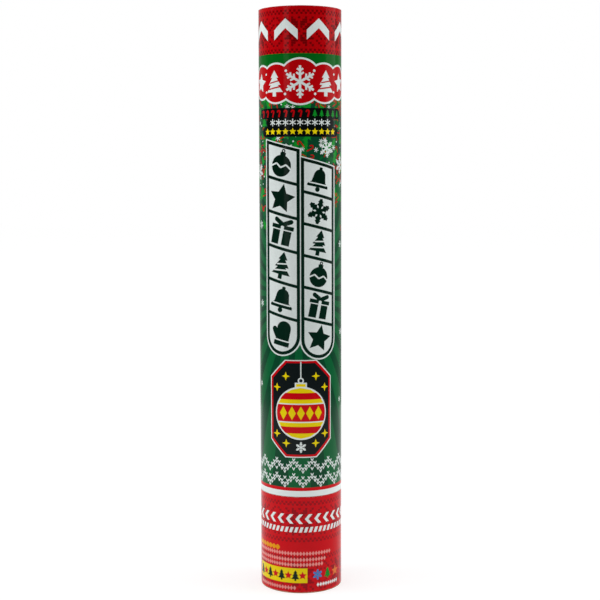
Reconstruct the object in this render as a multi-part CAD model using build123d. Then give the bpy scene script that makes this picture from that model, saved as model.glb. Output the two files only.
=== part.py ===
from build123d import *
import math
import os

# A hand-held confetti popper fired by compressed air: a paper barrel over a short twist handle.
# Holding the barrel and turning the handle a quarter turn draws a stopper out of an air cylinder's
# neck, and the air throws a wad and its load of die-cut paper up the barrel and out of the muzzle.
# Millimetres, +Z up along the barrel, origin at the middle of the handle's foot.

# Overall size
overall_height = 355.6
outside_diameter = 50.8
handle_height = 60.0
twist_gap = 0.4

# Fits shared by the pieces
glue_film = 0.05
running_gap = 0.3
slide_fit = 0.1
cut_overrun = 2.0

# Wound paper tubes and their printed wraps
tube_wall = 1.8
wrap_thickness = 0.15
wrap_foot_gap = 0.5

# Coupler sleeve, glued into the handle and free to turn in the barrel
sleeve_clearance = 0.2
sleeve_wall = 1.5
sleeve_reach = 40.0

# Base cap, recessed in the handle's foot
cap_recess = 2.0
cap_floor = 2.0
cap_skirt_height = 10.0
cap_skirt_wall = 1.6
cap_rib_height = 3.5
cap_rib_width = 1.6
cap_rib_count = 6
fill_port_diameter = 12.0
port_lip_width = 1.5
port_lip_height = 1.8

# Air cylinder, drawn body with a seamed end
cylinder_wall = 0.5
cylinder_body_length = 76.0
spacer_height = 10.0
upper_spacer_drop = 6.0
shoulder_height = 10.0
neck_diameter = 18.0
neck_height = 12.0
bead_height = 2.4
seam_clearance = 0.2
seam_play = 0.1
seam_wall = 0.6
seam_floor = 1.0
seam_height = 3.5
panel_thickness = 0.6
panel_rise = 5.0
panel_flat_diameter = 16.0

# Rubber plug that the cylinder is filled through
plug_stem_diameter = 7.0
plug_head_width = 2.2
plug_head_height = 2.0
plug_barb_width = 1.6
plug_barb_height = 5.0
plug_nose_diameter = 4.0

# Valve seat and its gasket in the cylinder's neck
gasket_thickness = 1.0
gasket_inset = 0.4
seat_bore_diameter = 12.0
seat_depth = 12.0
seat_flange_height = 2.0

# Stopper, cross pin and sealing ring
twist_angle = 90.0
stopper_lift = 8.0
stopper_tail = 9.5
stopper_head_diameter = 14.8
stopper_head_rise = 4.0
stopper_chamfer = 0.8
pin_diameter = 3.0
pin_chamfer = 0.4
pin_play = 0.15
pin_fit = 0.02
pin_rest_rise = 4.5
pin_end_count = 2
ring_section = 2.4
ring_play = 0.03
ring_drop = 3.9
ring_groove_width = 2.9

# Cam collar, clipped over the neck's bead
collar_web = 2.0
collar_lip_gap = 0.2
collar_skirt_wall = 2.4
collar_skirt_drop = 11.5
collar_flange_width = 3.0
cam_tube_gap = 0.4
cam_tube_wall = 3.2
cam_tube_crown = 1.5

# Bulkhead, glued in the barrel above the collar
boss_wall = 2.7
pin_end_inset = 0.4
stopper_headroom = 1.5
bulkhead_floor = 3.0
bulkhead_skirt_height = 10.0
bulkhead_skirt_wall = 1.8
port_count = 8
port_edge = 1.2
port_arc_share = 0.62
standoff_height = 1.5
standoff_width = 1.6
vent_count = 4
vent_width = 6.0
vent_edge = 3.0
finger_count = 4
finger_arc = 30.0
finger_wall = 1.8
finger_ring_height = 3.0
hook_reach = 1.4
hook_height = 2.0

# Wad that pushes the load
wad_clearance = 0.5
wad_board_thickness = 2.0
wad_fibre_thickness = 8.0

# Load of die-cut paper, in stacks of one shape
stack_height = 6.0
stack_gap = 0.3
stack_clearance = 1.0
layer_stack_count = 3
layer_turn = 25.0
cane_stroke_share = 0.34
cane_bend_share = 0.34
cane_tip_share = 0.22
tree_shares = [
    (0.0, 1.0), (0.36, 0.44), (0.2, 0.44), (0.56, -0.1), (0.32, -0.1), (0.76, -0.62), (0.16, -0.62), (0.16, -0.94),
]
arm_width_share = 0.17
arm_length_share = 0.97
barb_length_share = 0.36
barb_place_shares = (0.42, 0.68)
barb_angle = 55.0
arm_count = 6

# Paper seal in the muzzle
seal_recess = 6.0
seal_clearance = 0.25
seal_thickness = 0.5
seal_cuff_height = 5.0
score_count = 4
score_width = 0.6
score_depth = 0.2
score_reach_share = 0.9

# Radii that follow, from the outside in
wrap_radius = outside_diameter / 2
tube_radius = wrap_radius - wrap_thickness - glue_film
bore_radius = tube_radius - tube_wall
sleeve_radius = bore_radius - sleeve_clearance
sleeve_bore_radius = sleeve_radius - sleeve_wall
cap_skirt_radius = sleeve_bore_radius - glue_film
cap_skirt_bore = cap_skirt_radius - cap_skirt_wall
seam_radius = cap_skirt_bore - seam_clearance
cylinder_radius = seam_radius - seam_wall - seam_play
cylinder_bore_radius = cylinder_radius - cylinder_wall
neck_radius = neck_diameter / 2
neck_bore_radius = neck_radius - cylinder_wall
bead_radius = neck_radius + bead_height / 2
seat_bore_radius = seat_bore_diameter / 2
head_radius = stopper_head_diameter / 2
pin_radius = pin_diameter / 2
cam_bore_radius = head_radius + cam_tube_gap
cam_radius = cam_bore_radius + cam_tube_wall
collar_bore_radius = bead_radius + collar_lip_gap
collar_skirt_radius = collar_bore_radius + collar_skirt_wall
collar_flange_radius = collar_skirt_radius + collar_flange_width
boss_bore_radius = cam_radius + running_gap
boss_radius = boss_bore_radius + boss_wall
finger_bore_radius = collar_flange_radius + running_gap
finger_radius = finger_bore_radius + finger_wall
bulkhead_radius = bore_radius - glue_film
bulkhead_skirt_bore = bulkhead_radius - bulkhead_skirt_wall

# Heights that follow, from the foot up
barrel_foot = handle_height + twist_gap
cap_top = cap_recess + cap_floor
cylinder_seat = cap_top + cap_rib_height
cylinder_foot = cylinder_seat + seam_floor
shoulder_foot = cylinder_foot + cylinder_body_length
neck_foot = shoulder_foot + shoulder_height
neck_top = neck_foot + neck_height
seat_flange_foot = neck_top + gasket_thickness
seat_top = seat_flange_foot + seat_flange_height
collar_top = seat_top + collar_web
pin_rest = collar_top + pin_rest_rise
head_top = pin_rest + stopper_head_rise
cam_top = pin_rest + stopper_lift + pin_radius + cam_tube_crown
boss_foot = collar_top + running_gap
bulkhead_foot = head_top + stopper_lift + stopper_headroom
bulkhead_top = bulkhead_foot + bulkhead_floor
wad_foot = bulkhead_top + standoff_height
fibre_foot = wad_foot + wad_board_thickness
load_foot = fibre_foot + wad_fibre_thickness
seal_top = overall_height - seal_recess
seal_foot = seal_top - seal_thickness

ON_FOOT = (Align.CENTER, Align.CENTER, Align.MIN)
FROM_AXIS = (Align.MIN, Align.CENTER, Align.MIN)


def drum(radius, low, high):
    """A solid cylinder on the axis between two heights."""
    return Pos(0, 0, low) * Cylinder(radius, high - low, align=ON_FOOT)


def ring(bore, radius, low, high):
    """A plain ring on the axis between two heights."""
    return drum(radius, low, high) - drum(bore, low, high)


def turned(*lines):
    """A solid of revolution from the lines of a closed half section in the XZ plane."""
    return revolve(make_face(Curve() + list(lines)), Axis.Z)


def at(radius, height):
    """A point of a half section."""
    return (radius, 0, height)


def spoke(start, reach, width, low, high, angle):
    """A straight bar that runs outwards from the axis at an angle."""
    bar = Box(reach - start, width, high - low, align=FROM_AXIS)
    return Rot(0, 0, angle) * Pos(start, 0, low) * bar


def sector(bore, radius, low, high, arc, angle):
    """A piece of a ring that spans an arc, centred on an angle."""
    corners = [at(bore, low), at(radius, low), at(radius, high), at(bore, high)]
    section = make_face(Polyline(*corners, close=True))
    return Rot(0, 0, angle - arc / 2) * revolve(section, Axis.Z, revolution_arc=arc)


def evenly(count, offset=0):
    """Angles of a round pattern, in degrees."""
    return [offset + 360 * i / count for i in range(count)]


def barrel_tube():
    return ring(bore_radius, tube_radius, barrel_foot, overall_height)


def handle_tube():
    return ring(bore_radius, tube_radius, 0, handle_height)


def barrel_wrap():
    return ring(tube_radius + glue_film, wrap_radius, barrel_foot, overall_height)


def handle_wrap():
    return ring(tube_radius + glue_film, wrap_radius, wrap_foot_gap, handle_height)


def coupler_sleeve():
    return ring(sleeve_bore_radius, sleeve_radius, cap_top, barrel_foot + sleeve_reach)


def base_cap():
    """A floor that plugs the handle, with a skirt in the sleeve, ribs under the cylinder and a lipped fill port."""
    port_radius = fill_port_diameter / 2
    lip_radius = port_radius + port_lip_width
    rib_start = port_radius + port_lip_width / 2
    rib_reach = cap_skirt_radius - cap_skirt_wall / 2
    cap = drum(bore_radius - glue_film, cap_recess, cap_top)
    cap += ring(cap_skirt_bore, cap_skirt_radius, cap_top, cap_top + cap_skirt_height)
    cap += drum(lip_radius, cap_top, cap_top + port_lip_height)
    for angle in evenly(cap_rib_count):
        cap += spoke(rib_start, rib_reach, cap_rib_width, cap_top, cylinder_seat, angle)
    return cap - drum(port_radius, cap_recess - cut_overrun, cylinder_seat + cut_overrun)


def air_cylinder():
    """A drawn body with a domed shoulder and a narrow neck that ends in a rolled bead."""
    bead_foot = neck_top - bead_height
    bead_middle = at(bead_radius, neck_top - bead_height / 2)
    inner_neck_foot = neck_foot - cylinder_wall
    return turned(
        Line(at(cylinder_bore_radius, cylinder_foot), at(cylinder_radius, cylinder_foot)),
        Line(at(cylinder_radius, cylinder_foot), at(cylinder_radius, shoulder_foot)),
        TangentArc(at(cylinder_radius, shoulder_foot), at(neck_radius, neck_foot), tangent=(0, 0, 1)),
        Line(at(neck_radius, neck_foot), at(neck_radius, bead_foot)),
        ThreePointArc(at(neck_radius, bead_foot), bead_middle, at(neck_radius, neck_top)),
        Line(at(neck_radius, neck_top), at(neck_bore_radius, neck_top)),
        Line(at(neck_bore_radius, neck_top), at(neck_bore_radius, inner_neck_foot)),
        TangentArc(at(cylinder_bore_radius, shoulder_foot), at(neck_bore_radius, inner_neck_foot), tangent=(0, 0, 1)),
        Line(at(cylinder_bore_radius, shoulder_foot), at(cylinder_bore_radius, cylinder_foot)),
    )


# The dished end of the cylinder, which the fill plug sits in
panel_edge = cylinder_seat + seam_height
panel_foot = panel_edge + panel_rise
panel_top = panel_foot + panel_thickness
panel_hole_radius = plug_stem_diameter / 2 + glue_film


def cylinder_base():
    """The dished end panel, whose rim folds up round the foot of the body in a seam."""
    inner_face = cylinder_bore_radius - seam_play
    rim = inner_face - seam_wall
    outer_face = cylinder_radius + seam_play
    flat = panel_flat_diameter / 2
    rim_top = panel_edge + panel_thickness
    return turned(
        Line(at(rim, cylinder_seat), at(seam_radius, cylinder_seat)),
        Line(at(seam_radius, cylinder_seat), at(seam_radius, panel_edge)),
        Line(at(seam_radius, panel_edge), at(outer_face, panel_edge)),
        Line(at(outer_face, panel_edge), at(outer_face, cylinder_foot)),
        Line(at(outer_face, cylinder_foot), at(inner_face, cylinder_foot)),
        Line(at(inner_face, cylinder_foot), at(inner_face, rim_top)),
        TangentArc(at(flat, panel_top), at(inner_face, rim_top), tangent=(1, 0, 0)),
        Line(at(flat, panel_top), at(panel_hole_radius, panel_top)),
        Line(at(panel_hole_radius, panel_top), at(panel_hole_radius, panel_foot)),
        Line(at(panel_hole_radius, panel_foot), at(flat, panel_foot)),
        TangentArc(at(flat, panel_foot), at(rim, panel_edge), tangent=(1, 0, 0)),
        Line(at(rim, panel_edge), at(rim, cylinder_seat)),
    )


def fill_plug():
    """A mushroom of rubber: a head under the panel, a stem through it and a barb above."""
    stem = plug_stem_diameter / 2
    head = drum(stem + plug_head_width, panel_foot - plug_head_height, panel_foot)
    neck = drum(stem, panel_foot, panel_top)
    barb = Pos(0, 0, panel_top) * Cone(stem + plug_barb_width, plug_nose_diameter / 2, plug_barb_height, align=ON_FOOT)
    return head + neck + barb


def spacer(low):
    """A wound paper ring that keeps the cylinder central in the sleeve."""
    return ring(cylinder_radius + glue_film, sleeve_bore_radius - glue_film, low, low + spacer_height)


def lower_spacer():
    return spacer(cap_top + cap_skirt_height)


def upper_spacer():
    return spacer(shoulder_foot - upper_spacer_drop - spacer_height)


def seat_gasket():
    return ring(neck_bore_radius, bead_radius - gasket_inset, neck_top, seat_flange_foot)


def valve_seat():
    """A flanged bush in the neck, whose bore the stopper's ring seals against."""
    barrel = drum(neck_bore_radius - glue_film, neck_top - seat_depth, seat_flange_foot)
    flange = drum(bead_radius, seat_flange_foot, seat_top)
    return barrel + flange - drum(seat_bore_radius, neck_top - seat_depth - cut_overrun, seat_top + cut_overrun)


def helical_slot():
    """The space that one end of the cross pin sweeps in the collar as the handle turns and the stopper rises."""
    lead = stopper_lift * 360 / twist_angle
    slope = lead / (2 * math.pi * cam_bore_radius)
    half_height = pin_radius * math.sqrt(1 + slope**2) + pin_play
    end_arc = math.degrees(math.asin((pin_radius + pin_play) / cam_bore_radius))
    turn = twist_angle + 2 * end_arc
    foot = pin_rest - half_height - lead * end_arc / 360
    inner = Edge.make_helix(lead, lead * turn / 360, cam_bore_radius - cam_tube_gap)
    outer = Edge.make_helix(lead, lead * turn / 360, cam_radius + cam_tube_gap)
    floor = Face.make_surface_from_curves(inner, outer)
    swept = Rot(0, 0, -end_arc) * Pos(0, 0, foot) * Solid.extrude(floor, (0, 0, 2 * half_height))
    exit_foot = pin_rest + stopper_lift
    exit_top = cam_top + cut_overrun
    mouth = sector(head_radius, cam_radius + cut_overrun, exit_foot, exit_top, 2 * end_arc, twist_angle)
    return swept, mouth


def cam_collar():
    """A skirt that clips under the neck's bead, a web over the seat, and a tube with two helical slots."""
    bead_foot = neck_top - bead_height
    skirt_foot = seat_top - collar_skirt_drop
    collar = ring(neck_radius + collar_lip_gap, collar_skirt_radius, skirt_foot, bead_foot - collar_lip_gap)
    collar += ring(collar_bore_radius, collar_skirt_radius, bead_foot - collar_lip_gap, seat_top)
    collar += ring(cam_bore_radius, collar_flange_radius, seat_top, collar_top)
    collar += ring(cam_bore_radius, cam_radius, collar_top, cam_top)
    for angle in evenly(pin_end_count):
        for cut in helical_slot():
            collar -= Rot(0, 0, angle) * cut
    return collar


# The sealing ring's groove, a little way down the seat
ring_height = seat_top - ring_drop
ring_outer_radius = seat_bore_radius - ring_play
ring_middle_radius = ring_outer_radius - ring_section / 2


def stopper():
    """A plug with a tail in the seat, a groove for the ring and a head that carries the cross pin."""
    stem_radius = seat_bore_radius - slide_fit
    tail_foot = seat_top - stopper_tail
    body = drum(stem_radius, tail_foot, seat_top + running_gap)
    body = chamfer(body.edges().group_by(Axis.Z)[0], stopper_chamfer)
    head = drum(head_radius, seat_top + running_gap, head_top)
    body += chamfer(head.edges().group_by(Axis.Z)[-1], stopper_chamfer)
    groove_foot = ring_height - ring_groove_width / 2
    groove_bed = ring_middle_radius - ring_section / 2 - ring_play
    body -= ring(groove_bed, stem_radius + cut_overrun, groove_foot, groove_foot + ring_groove_width)
    return body - Pos(0, 0, pin_rest) * Rot(0, 90, 0) * Cylinder(pin_radius + pin_fit, 2 * boss_radius)


def stopper_ring():
    return Pos(0, 0, ring_height) * Torus(ring_middle_radius, ring_section / 2)


def cross_pin():
    pin = Cylinder(pin_radius, 2 * (boss_radius - pin_end_inset))
    return Pos(0, 0, pin_rest) * Rot(0, 90, 0) * chamfer(pin.edges().filter_by(GeomType.CIRCLE), pin_chamfer)


def bulkhead():
    """A ported floor with a slotted boss that guides the pin, and fingers that hook under the collar's flange."""
    ring_top = boss_foot + finger_ring_height
    hook_top = seat_top - running_gap
    plate = drum(bulkhead_radius, bulkhead_foot, bulkhead_top)
    plate += ring(bulkhead_skirt_bore, bulkhead_radius, bulkhead_top - bulkhead_skirt_height, bulkhead_top)
    plate += ring(boss_bore_radius, boss_radius, boss_foot, bulkhead_foot)
    plate += ring(boss_radius, finger_radius, boss_foot, ring_top)
    hook_bore = finger_bore_radius - hook_reach
    for angle in evenly(finger_count, 360 / finger_count / 2):
        plate += sector(finger_bore_radius, finger_radius, hook_top - hook_height, boss_foot, finger_arc, angle)
        plate += sector(hook_bore, finger_bore_radius, hook_top - hook_height, hook_top, finger_arc, angle)
    port_pitch = 360 / port_count
    port_bore, port_reach = boss_radius + port_edge, bulkhead_skirt_bore - port_edge
    for angle in evenly(port_count):
        port_low, port_high = bulkhead_foot - cut_overrun, bulkhead_top + cut_overrun
        plate -= sector(port_bore, port_reach, port_low, port_high, port_arc_share * port_pitch, angle)
        rib_angle = angle + port_pitch / 2
        plate += spoke(boss_bore_radius / 2, port_reach, standoff_width, bulkhead_top, wad_foot, rib_angle)
    slot_width = pin_diameter + 2 * pin_play
    slot_foot = pin_rest - pin_radius - pin_play
    slot_top = pin_rest + stopper_lift + pin_radius + pin_play
    for angle in evenly(pin_end_count):
        plate -= spoke(0, boss_radius + cut_overrun, slot_width, slot_foot, slot_top, angle)
    for angle in evenly(vent_count, 360 / vent_count / 2):
        plate -= spoke(0, boss_radius + cut_overrun, vent_width, ring_top + vent_edge, bulkhead_foot - vent_edge, angle)
    return plate


def wad_board():
    return drum(bore_radius - wad_clearance, wad_foot, fibre_foot)


def wad_fibre():
    return drum(bore_radius - wad_clearance, fibre_foot, load_foot)


# Places of the paper stacks: three circles that touch inside the bore, turned a little from layer to layer
circle_share = 1 / math.sin(math.pi / layer_stack_count)
stack_radius = (bore_radius - stack_clearance) / (1 + circle_share)
stack_offset = stack_radius * circle_share
shape_radius = stack_radius - stack_gap / 2
layer_pitch = stack_height + stack_gap
layer_count = int((seal_foot - load_foot - stack_gap) / layer_pitch)


def cane_outline():
    """A walking-stick shape: a straight shank, a half-round bend and a short tip."""
    stroke, bend, tip = (share * shape_radius for share in (cane_stroke_share, cane_bend_share, cane_tip_share))
    shank = shape_radius - stroke / 2
    rise = math.sqrt(shape_radius**2 - (bend + stroke / 2) ** 2) - bend - stroke / 2
    path = Polyline((bend, -rise), (bend, rise)) + ThreePointArc((bend, rise), (0, rise + bend), (-bend, rise))
    path += Line((-bend, rise), (-bend, rise - tip))
    return Rot(0, 0, math.degrees(math.asin(tip / shank))) * trace(path, stroke)


def tree_outline():
    """A fir in three tiers on a short trunk."""
    right = [(x * shape_radius, y * shape_radius) for x, y in tree_shares]
    left = [(-x, y) for x, y in reversed(right[1:])]
    return make_face(Polyline(*right, *left, close=True))


def snowflake_outline():
    """Six straight arms, each with two pairs of barbs."""
    width, reach = arm_width_share * shape_radius, arm_length_share * shape_radius
    along = (Align.MIN, Align.CENTER)
    arm = Rectangle(reach, width, align=along)
    for share in barb_place_shares:
        for side in (-1, 1):
            barb = Rectangle(barb_length_share * shape_radius * (1 - share / 2), width, align=along)
            arm += Pos(share * shape_radius, 0) * Rot(0, 0, side * barb_angle) * barb
    return Sketch() + [Rot(0, 0, angle) * arm for angle in evenly(arm_count)]


def paper_stacks(outline, place):
    """The stacks of one shape, one in each layer of the load."""
    stack = extrude(outline, stack_height)
    stacks = []
    for layer in range(layer_count):
        turn = layer * layer_turn + 360 * place / layer_stack_count
        height = load_foot + stack_gap + layer * layer_pitch
        placed = Rot(0, 0, turn) * Pos(stack_offset, 0, height) * Rot(0, 0, layer * layer_turn) * stack
        stacks += placed.solids()
    return Compound(children=stacks)


def cane_confetti():
    return paper_stacks(cane_outline(), 0)


def tree_confetti():
    return paper_stacks(tree_outline(), 1)


def snowflake_confetti():
    return paper_stacks(snowflake_outline(), 2)


def muzzle_seal():
    """A shallow paper cup in the muzzle, scored across so that it tears open."""
    seal_radius = bore_radius - seal_clearance
    seal = drum(seal_radius, seal_foot - seal_cuff_height, seal_top)
    seal -= drum(seal_radius - seal_thickness, seal_foot - seal_cuff_height, seal_foot)
    reach = score_reach_share * seal_radius
    for angle in evenly(score_count, 180 / score_count):
        seal -= spoke(0, reach, score_width, seal_top - score_depth, seal_top + cut_overrun, angle)
    return seal


PIECES = (
    barrel_tube, barrel_wrap, bulkhead,
    handle_tube, handle_wrap, coupler_sleeve, base_cap,
    air_cylinder, cylinder_base, fill_plug, lower_spacer, upper_spacer,
    valve_seat, seat_gasket, cam_collar,
    stopper, stopper_ring, cross_pin,
    wad_board, wad_fibre,
    cane_confetti, tree_confetti, snowflake_confetti,
    muzzle_seal,
)

os.makedirs("parts", exist_ok=True)
for piece in PIECES:
    export_step(piece(), f"parts/{piece.__name__}.step")
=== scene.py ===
import math
import random
from itertools import product

import bmesh
import bpy
import numpy as np
from bpy.props import FloatProperty, FloatVectorProperty, IntProperty, PointerProperty
from mathutils import Matrix, Vector, geometry, noise


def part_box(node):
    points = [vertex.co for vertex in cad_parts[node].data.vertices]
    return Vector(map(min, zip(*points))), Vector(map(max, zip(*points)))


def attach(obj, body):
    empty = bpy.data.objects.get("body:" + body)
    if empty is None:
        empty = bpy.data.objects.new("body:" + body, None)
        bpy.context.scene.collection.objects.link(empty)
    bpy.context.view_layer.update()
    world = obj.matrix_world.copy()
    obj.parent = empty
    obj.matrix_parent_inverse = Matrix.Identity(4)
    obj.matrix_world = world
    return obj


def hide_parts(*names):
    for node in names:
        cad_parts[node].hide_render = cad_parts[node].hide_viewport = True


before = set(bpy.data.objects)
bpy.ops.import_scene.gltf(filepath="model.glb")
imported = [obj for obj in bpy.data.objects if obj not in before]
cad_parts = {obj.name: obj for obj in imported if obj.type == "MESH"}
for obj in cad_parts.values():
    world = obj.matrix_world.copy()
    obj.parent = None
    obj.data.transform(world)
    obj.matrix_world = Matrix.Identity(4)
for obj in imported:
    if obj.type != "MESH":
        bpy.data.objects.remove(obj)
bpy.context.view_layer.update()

bl_info = {
    "name": "Confetti popper",
    "version": (1, 0, 0),
    "blender": (4, 5, 0),
    "location": "View3D > Sidebar > Popper",
    "description": "Dresses the popper in printed labels, wound board, moulded plastic and cut paper",
    "category": "Object",
}

MM = 0.001


def low(node):
    """The height of a node's foot, in metres."""
    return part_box(node)[0].z


def high(node):
    """The height of a node's top, in metres."""
    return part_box(node)[1].z


def reach(node):
    """The outer radius of a round node, in metres."""
    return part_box(node)[1].x


def srgb(red, green, blue):
    """The linear colour of a display colour given in 0 to 255."""
    shares = (channel / 255 for channel in (red, green, blue))
    return tuple(s / 12.92 if s <= 0.04045 else ((s + 0.055) / 1.055) ** 2.4 for s in shares)


# Print sizes, in millimetres on the flat label, with zero at the front and at the foot

LABEL_RADIUS = reach("barrel_wrap") / MM
HALF_TURN = math.pi * LABEL_RADIUS
BARREL_FOOT = low("barrel_wrap") / MM
BARREL_TOP = high("barrel_wrap") / MM
HANDLE_FOOT = low("handle_wrap") / MM
LABEL_OVERHANG = 0.2
HANDLE_TOP = high("handle_wrap") / MM + LABEL_OVERHANG

RED_BAND_FOOT = 327.8
RED_LINE_TOP = 66.0
WHITE_BAND_TOP = 64.0

# Painted shade: the heights between which an ink drifts from its darker tone near the muzzle to its lighter
# lower tone
SHADE_FADES = {
    "red": (RED_BAND_FOOT, RED_LINE_TOP),
    "dark_red": (RED_BAND_FOOT, RED_LINE_TOP),
    "green": (RED_BAND_FOOT, 225),
    "white": (150, RED_LINE_TOP),
    "panel_green": (275, 205),
    "black": (270, 150),
}
INKS = ("red", "dark_red", "green", "ray_green", "panel_green", "leaf_green",
        "white", "black", "yellow", "amber", "blue", "orange", "pink")


def colour_prop(name, text, *display):
    """A colour that a user may change, given as a display colour."""
    return FloatVectorProperty(name=name, description=text, subtype="COLOR", size=3, min=0, max=1,
                               default=srgb(*display))


def length_prop(name, text, size):
    """A length that a user may change, given in millimetres."""
    return FloatProperty(name=name, description=text, unit="LENGTH", default=size * MM, min=0, precision=5)


def count_prop(name, text, count):
    """A count that a user may change."""
    return IntProperty(name=name, description=text, default=count, min=1)


class PopperSizes(bpy.types.PropertyGroup):
    """Sizes of the printed, wound and cut pieces"""

    paper: length_prop("Label paper", "Thickness of the printed label with its film", 0.07)
    overlap_step: length_prop("Overlap step", "Rise of the label where it laps over itself", 0.08)
    overlap: length_prop("Overlap", "Width of the lap at the back of each label", 4.4)
    ply: length_prop("Ply groove", "Depth of the grooves between the plies on a tube's rim", 0.12)
    leaf: length_prop("Confetti leaf", "Thickness of one cut paper leaf", 0.35)
    crinkle: length_prop("Seal crinkle", "Depth of the pleats round the muzzle seal", 0.22)
    stack_leaves: count_prop("Leaves in a stack", "Cut paper leaves in one stack of confetti", 7)
    motif_seed: count_prop("Print seed", "Seed of the scattered motifs on the barrel", 11)


class PopperColours(bpy.types.PropertyGroup):
    """Colours of the inks, papers and moulded pieces"""

    # Each low colour is a lighter tone of the ink listed just before it: painted shade, so the print
    # renders darker towards the muzzle and lighter towards the foot
    red: colour_prop("Red ink", "Ground of the band at the muzzle", 174, 0, 7)
    low_red: colour_prop("Low red ink", "Ground of the handle", 202, 6, 20)
    dark_red: colour_prop("Dark red ink", "Knit stitches at the muzzle", 111, 0, 4)
    low_dark_red: colour_prop("Low dark red ink", "Knit stitches on the handle", 146, 10, 22)
    green: colour_prop("Green ink", "Ground of the barrel near the muzzle", 1, 94, 20)
    low_green: colour_prop("Low green ink", "Ground of the barrel near the joint", 14, 94, 52)
    ray_green: colour_prop("Ray green ink", "Darker rays on the green ground", 10, 68, 42)
    panel_green: colour_prop("Panel green ink", "Dark ground behind the upper tiles", 3, 24, 14)
    low_panel_green: colour_prop("Low panel green ink", "Dark ground behind the lower tiles", 6, 36, 25)
    leaf_green: colour_prop("Leaf green ink", "Bright trees in the scattered print", 14, 136, 38)
    white: colour_prop("White ink", "Chevrons and figures near the muzzle", 213, 221, 219)
    low_white: colour_prop("Low white ink", "Stripe, zigzag and arrows near the joint", 229, 237, 235)
    black: colour_prop("Black ink", "Ground of the icon rows", 7, 13, 12)
    low_black: colour_prop("Low black ink", "Ground of the bauble's tile", 18, 25, 26)
    yellow: colour_prop("Yellow ink", "Stars, the bauble and the small panel", 232, 208, 6)
    amber: colour_prop("Amber ink", "Row of beads on the handle", 226, 152, 10)
    blue: colour_prop("Blue ink", "Small snowflake on the handle", 44, 132, 196)
    orange: colour_prop("Orange ink", "Small star on the handle", 222, 118, 52)
    pink: colour_prop("Pink ink", "Rows of small diamonds on the handle", 228, 146, 140)
    board: colour_prop("Kraft board", "Wound board of the tubes and spacers", 176, 140, 98)
    grey_board: colour_prop("Grey board", "Pressed fibre of the wad", 142, 138, 130)
    black_plastic: colour_prop("Black plastic", "Base cap, collar and bulkhead", 38, 38, 41)
    white_plastic: colour_prop("White plastic", "Valve seat and stopper", 226, 226, 220)
    rubber: colour_prop("Rubber", "Gasket, fill plug and sealing ring", 36, 35, 35)
    aluminium: colour_prop("Aluminium", "Drawn cylinder and its base", 214, 216, 219)
    steel: colour_prop("Steel", "Cross pin", 186, 187, 190)
    foil: colour_prop("Foil paper", "Muzzle seal", 212, 215, 220)
    red_paper: colour_prop("Red paper", "Canes", 196, 28, 34)
    green_paper: colour_prop("Green paper", "Trees", 26, 128, 58)
    white_paper: colour_prop("White paper", "Snowflakes and the canes' stripes", 232, 234, 236)


# Outlines, as lists of points round a figure one unit in radius

def arc(centre, radius, start, end, steps=8):
    """Points along an arc between two angles in degrees."""
    turns = [math.radians(start + (end - start) * i / steps) for i in range(steps + 1)]
    return [(centre[0] + radius * math.cos(a), centre[1] + radius * math.sin(a)) for a in turns]


def disc(centre, radius, steps=24):
    """A circle."""
    return arc(centre, radius, 0, 360, steps)[:-1]


def bar(start, end, width):
    """A straight stroke with square ends."""
    along = Vector(end) - Vector(start)
    side = Vector((-along.y, along.x)).normalized() * width / 2
    corners = (Vector(start) - side, Vector(end) - side, Vector(end) + side, Vector(start) + side)
    return [tuple(c) for c in corners]


def box(left, foot, right, top):
    """An upright rectangle."""
    return [(left, foot), (right, foot), (right, top), (left, top)]


def lozenge(left, foot, right, top):
    """A lying strip with round ends."""
    radius = (top - foot) / 2
    middle = (foot + top) / 2
    return arc((right - radius, middle), radius, -90, 90) + arc((left + radius, middle), radius, 90, 270)


def mirrored(right_half):
    """A figure from its right half, listed from top to foot."""
    return right_half + [(-x, y) for x, y in reversed(right_half) if x]


def moved(outline, place, size=1.0, turn=0.0):
    """An outline scaled, turned in degrees and set at a place."""
    across = size * math.cos(math.radians(turn))
    up = size * math.sin(math.radians(turn))
    return [(place[0] + across * x - up * y, place[1] + up * x + across * y) for x, y in outline]


TREE_SHARES = [(0, 1), (0.36, 0.44), (0.2, 0.44), (0.56, -0.1), (0.32, -0.1), (0.76, -0.62), (0.16, -0.62),
               (0.16, -0.94)]
STITCH_SHARES = [(0, 0.38), (0.5, 0.56), (0.5, -0.34), (0, -0.58)]
VEE_SHARES = [(0, -0.06), (0.2, 0.4), (0.52, 0.54), (0.42, 0.06), (0, -0.66)]
CANE_SHAFT_SHARE = 0.3
CANE_TIP_SHARE = 0.16
FLAKE_ARMS = 6
ARM_TURN = 360 / FLAKE_ARMS
BARB_PLACE_SHARES = (0.42, 0.68)
BARB_LENGTH_SHARE = 0.36
BARB_WIDTH_SHARE = 0.8
BARB_TURN = 55


def tree():
    """A fir tree of three tiers."""
    return mirrored(TREE_SHARES)


def cane(stroke=0.34, bend=0.36):
    """A cane with its hook at the top left."""
    half = stroke / 2
    middle = (CANE_SHAFT_SHARE - bend, 1 - bend - half)
    outside = [(CANE_SHAFT_SHARE + half, -1)] + arc(middle, bend + half, 0, 180)
    tip = [(middle[0] - bend + side * half, CANE_TIP_SHARE) for side in (-1, 1)]
    return outside + tip + arc(middle, bend - half, 180, 0) + [(CANE_SHAFT_SHARE - half, -1)]


def snowflake(width, barbs=True):
    """Six arms, each with two pairs of barbs or bare: a list of strokes."""
    parts = [bar((0, 0), (0, 1), width)]
    for share in BARB_PLACE_SHARES if barbs else ():
        length = BARB_LENGTH_SHARE * (1 - share / 2)
        for side in (-1, 1):
            slant = math.radians(90 - side * BARB_TURN)
            end = (length * math.cos(slant), share + length * math.sin(slant))
            parts.append(bar((0, share), end, width * BARB_WIDTH_SHARE))
    return [moved(part, (0, 0), 1, ARM_TURN * arm) for arm in range(FLAKE_ARMS) for part in parts]


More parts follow.
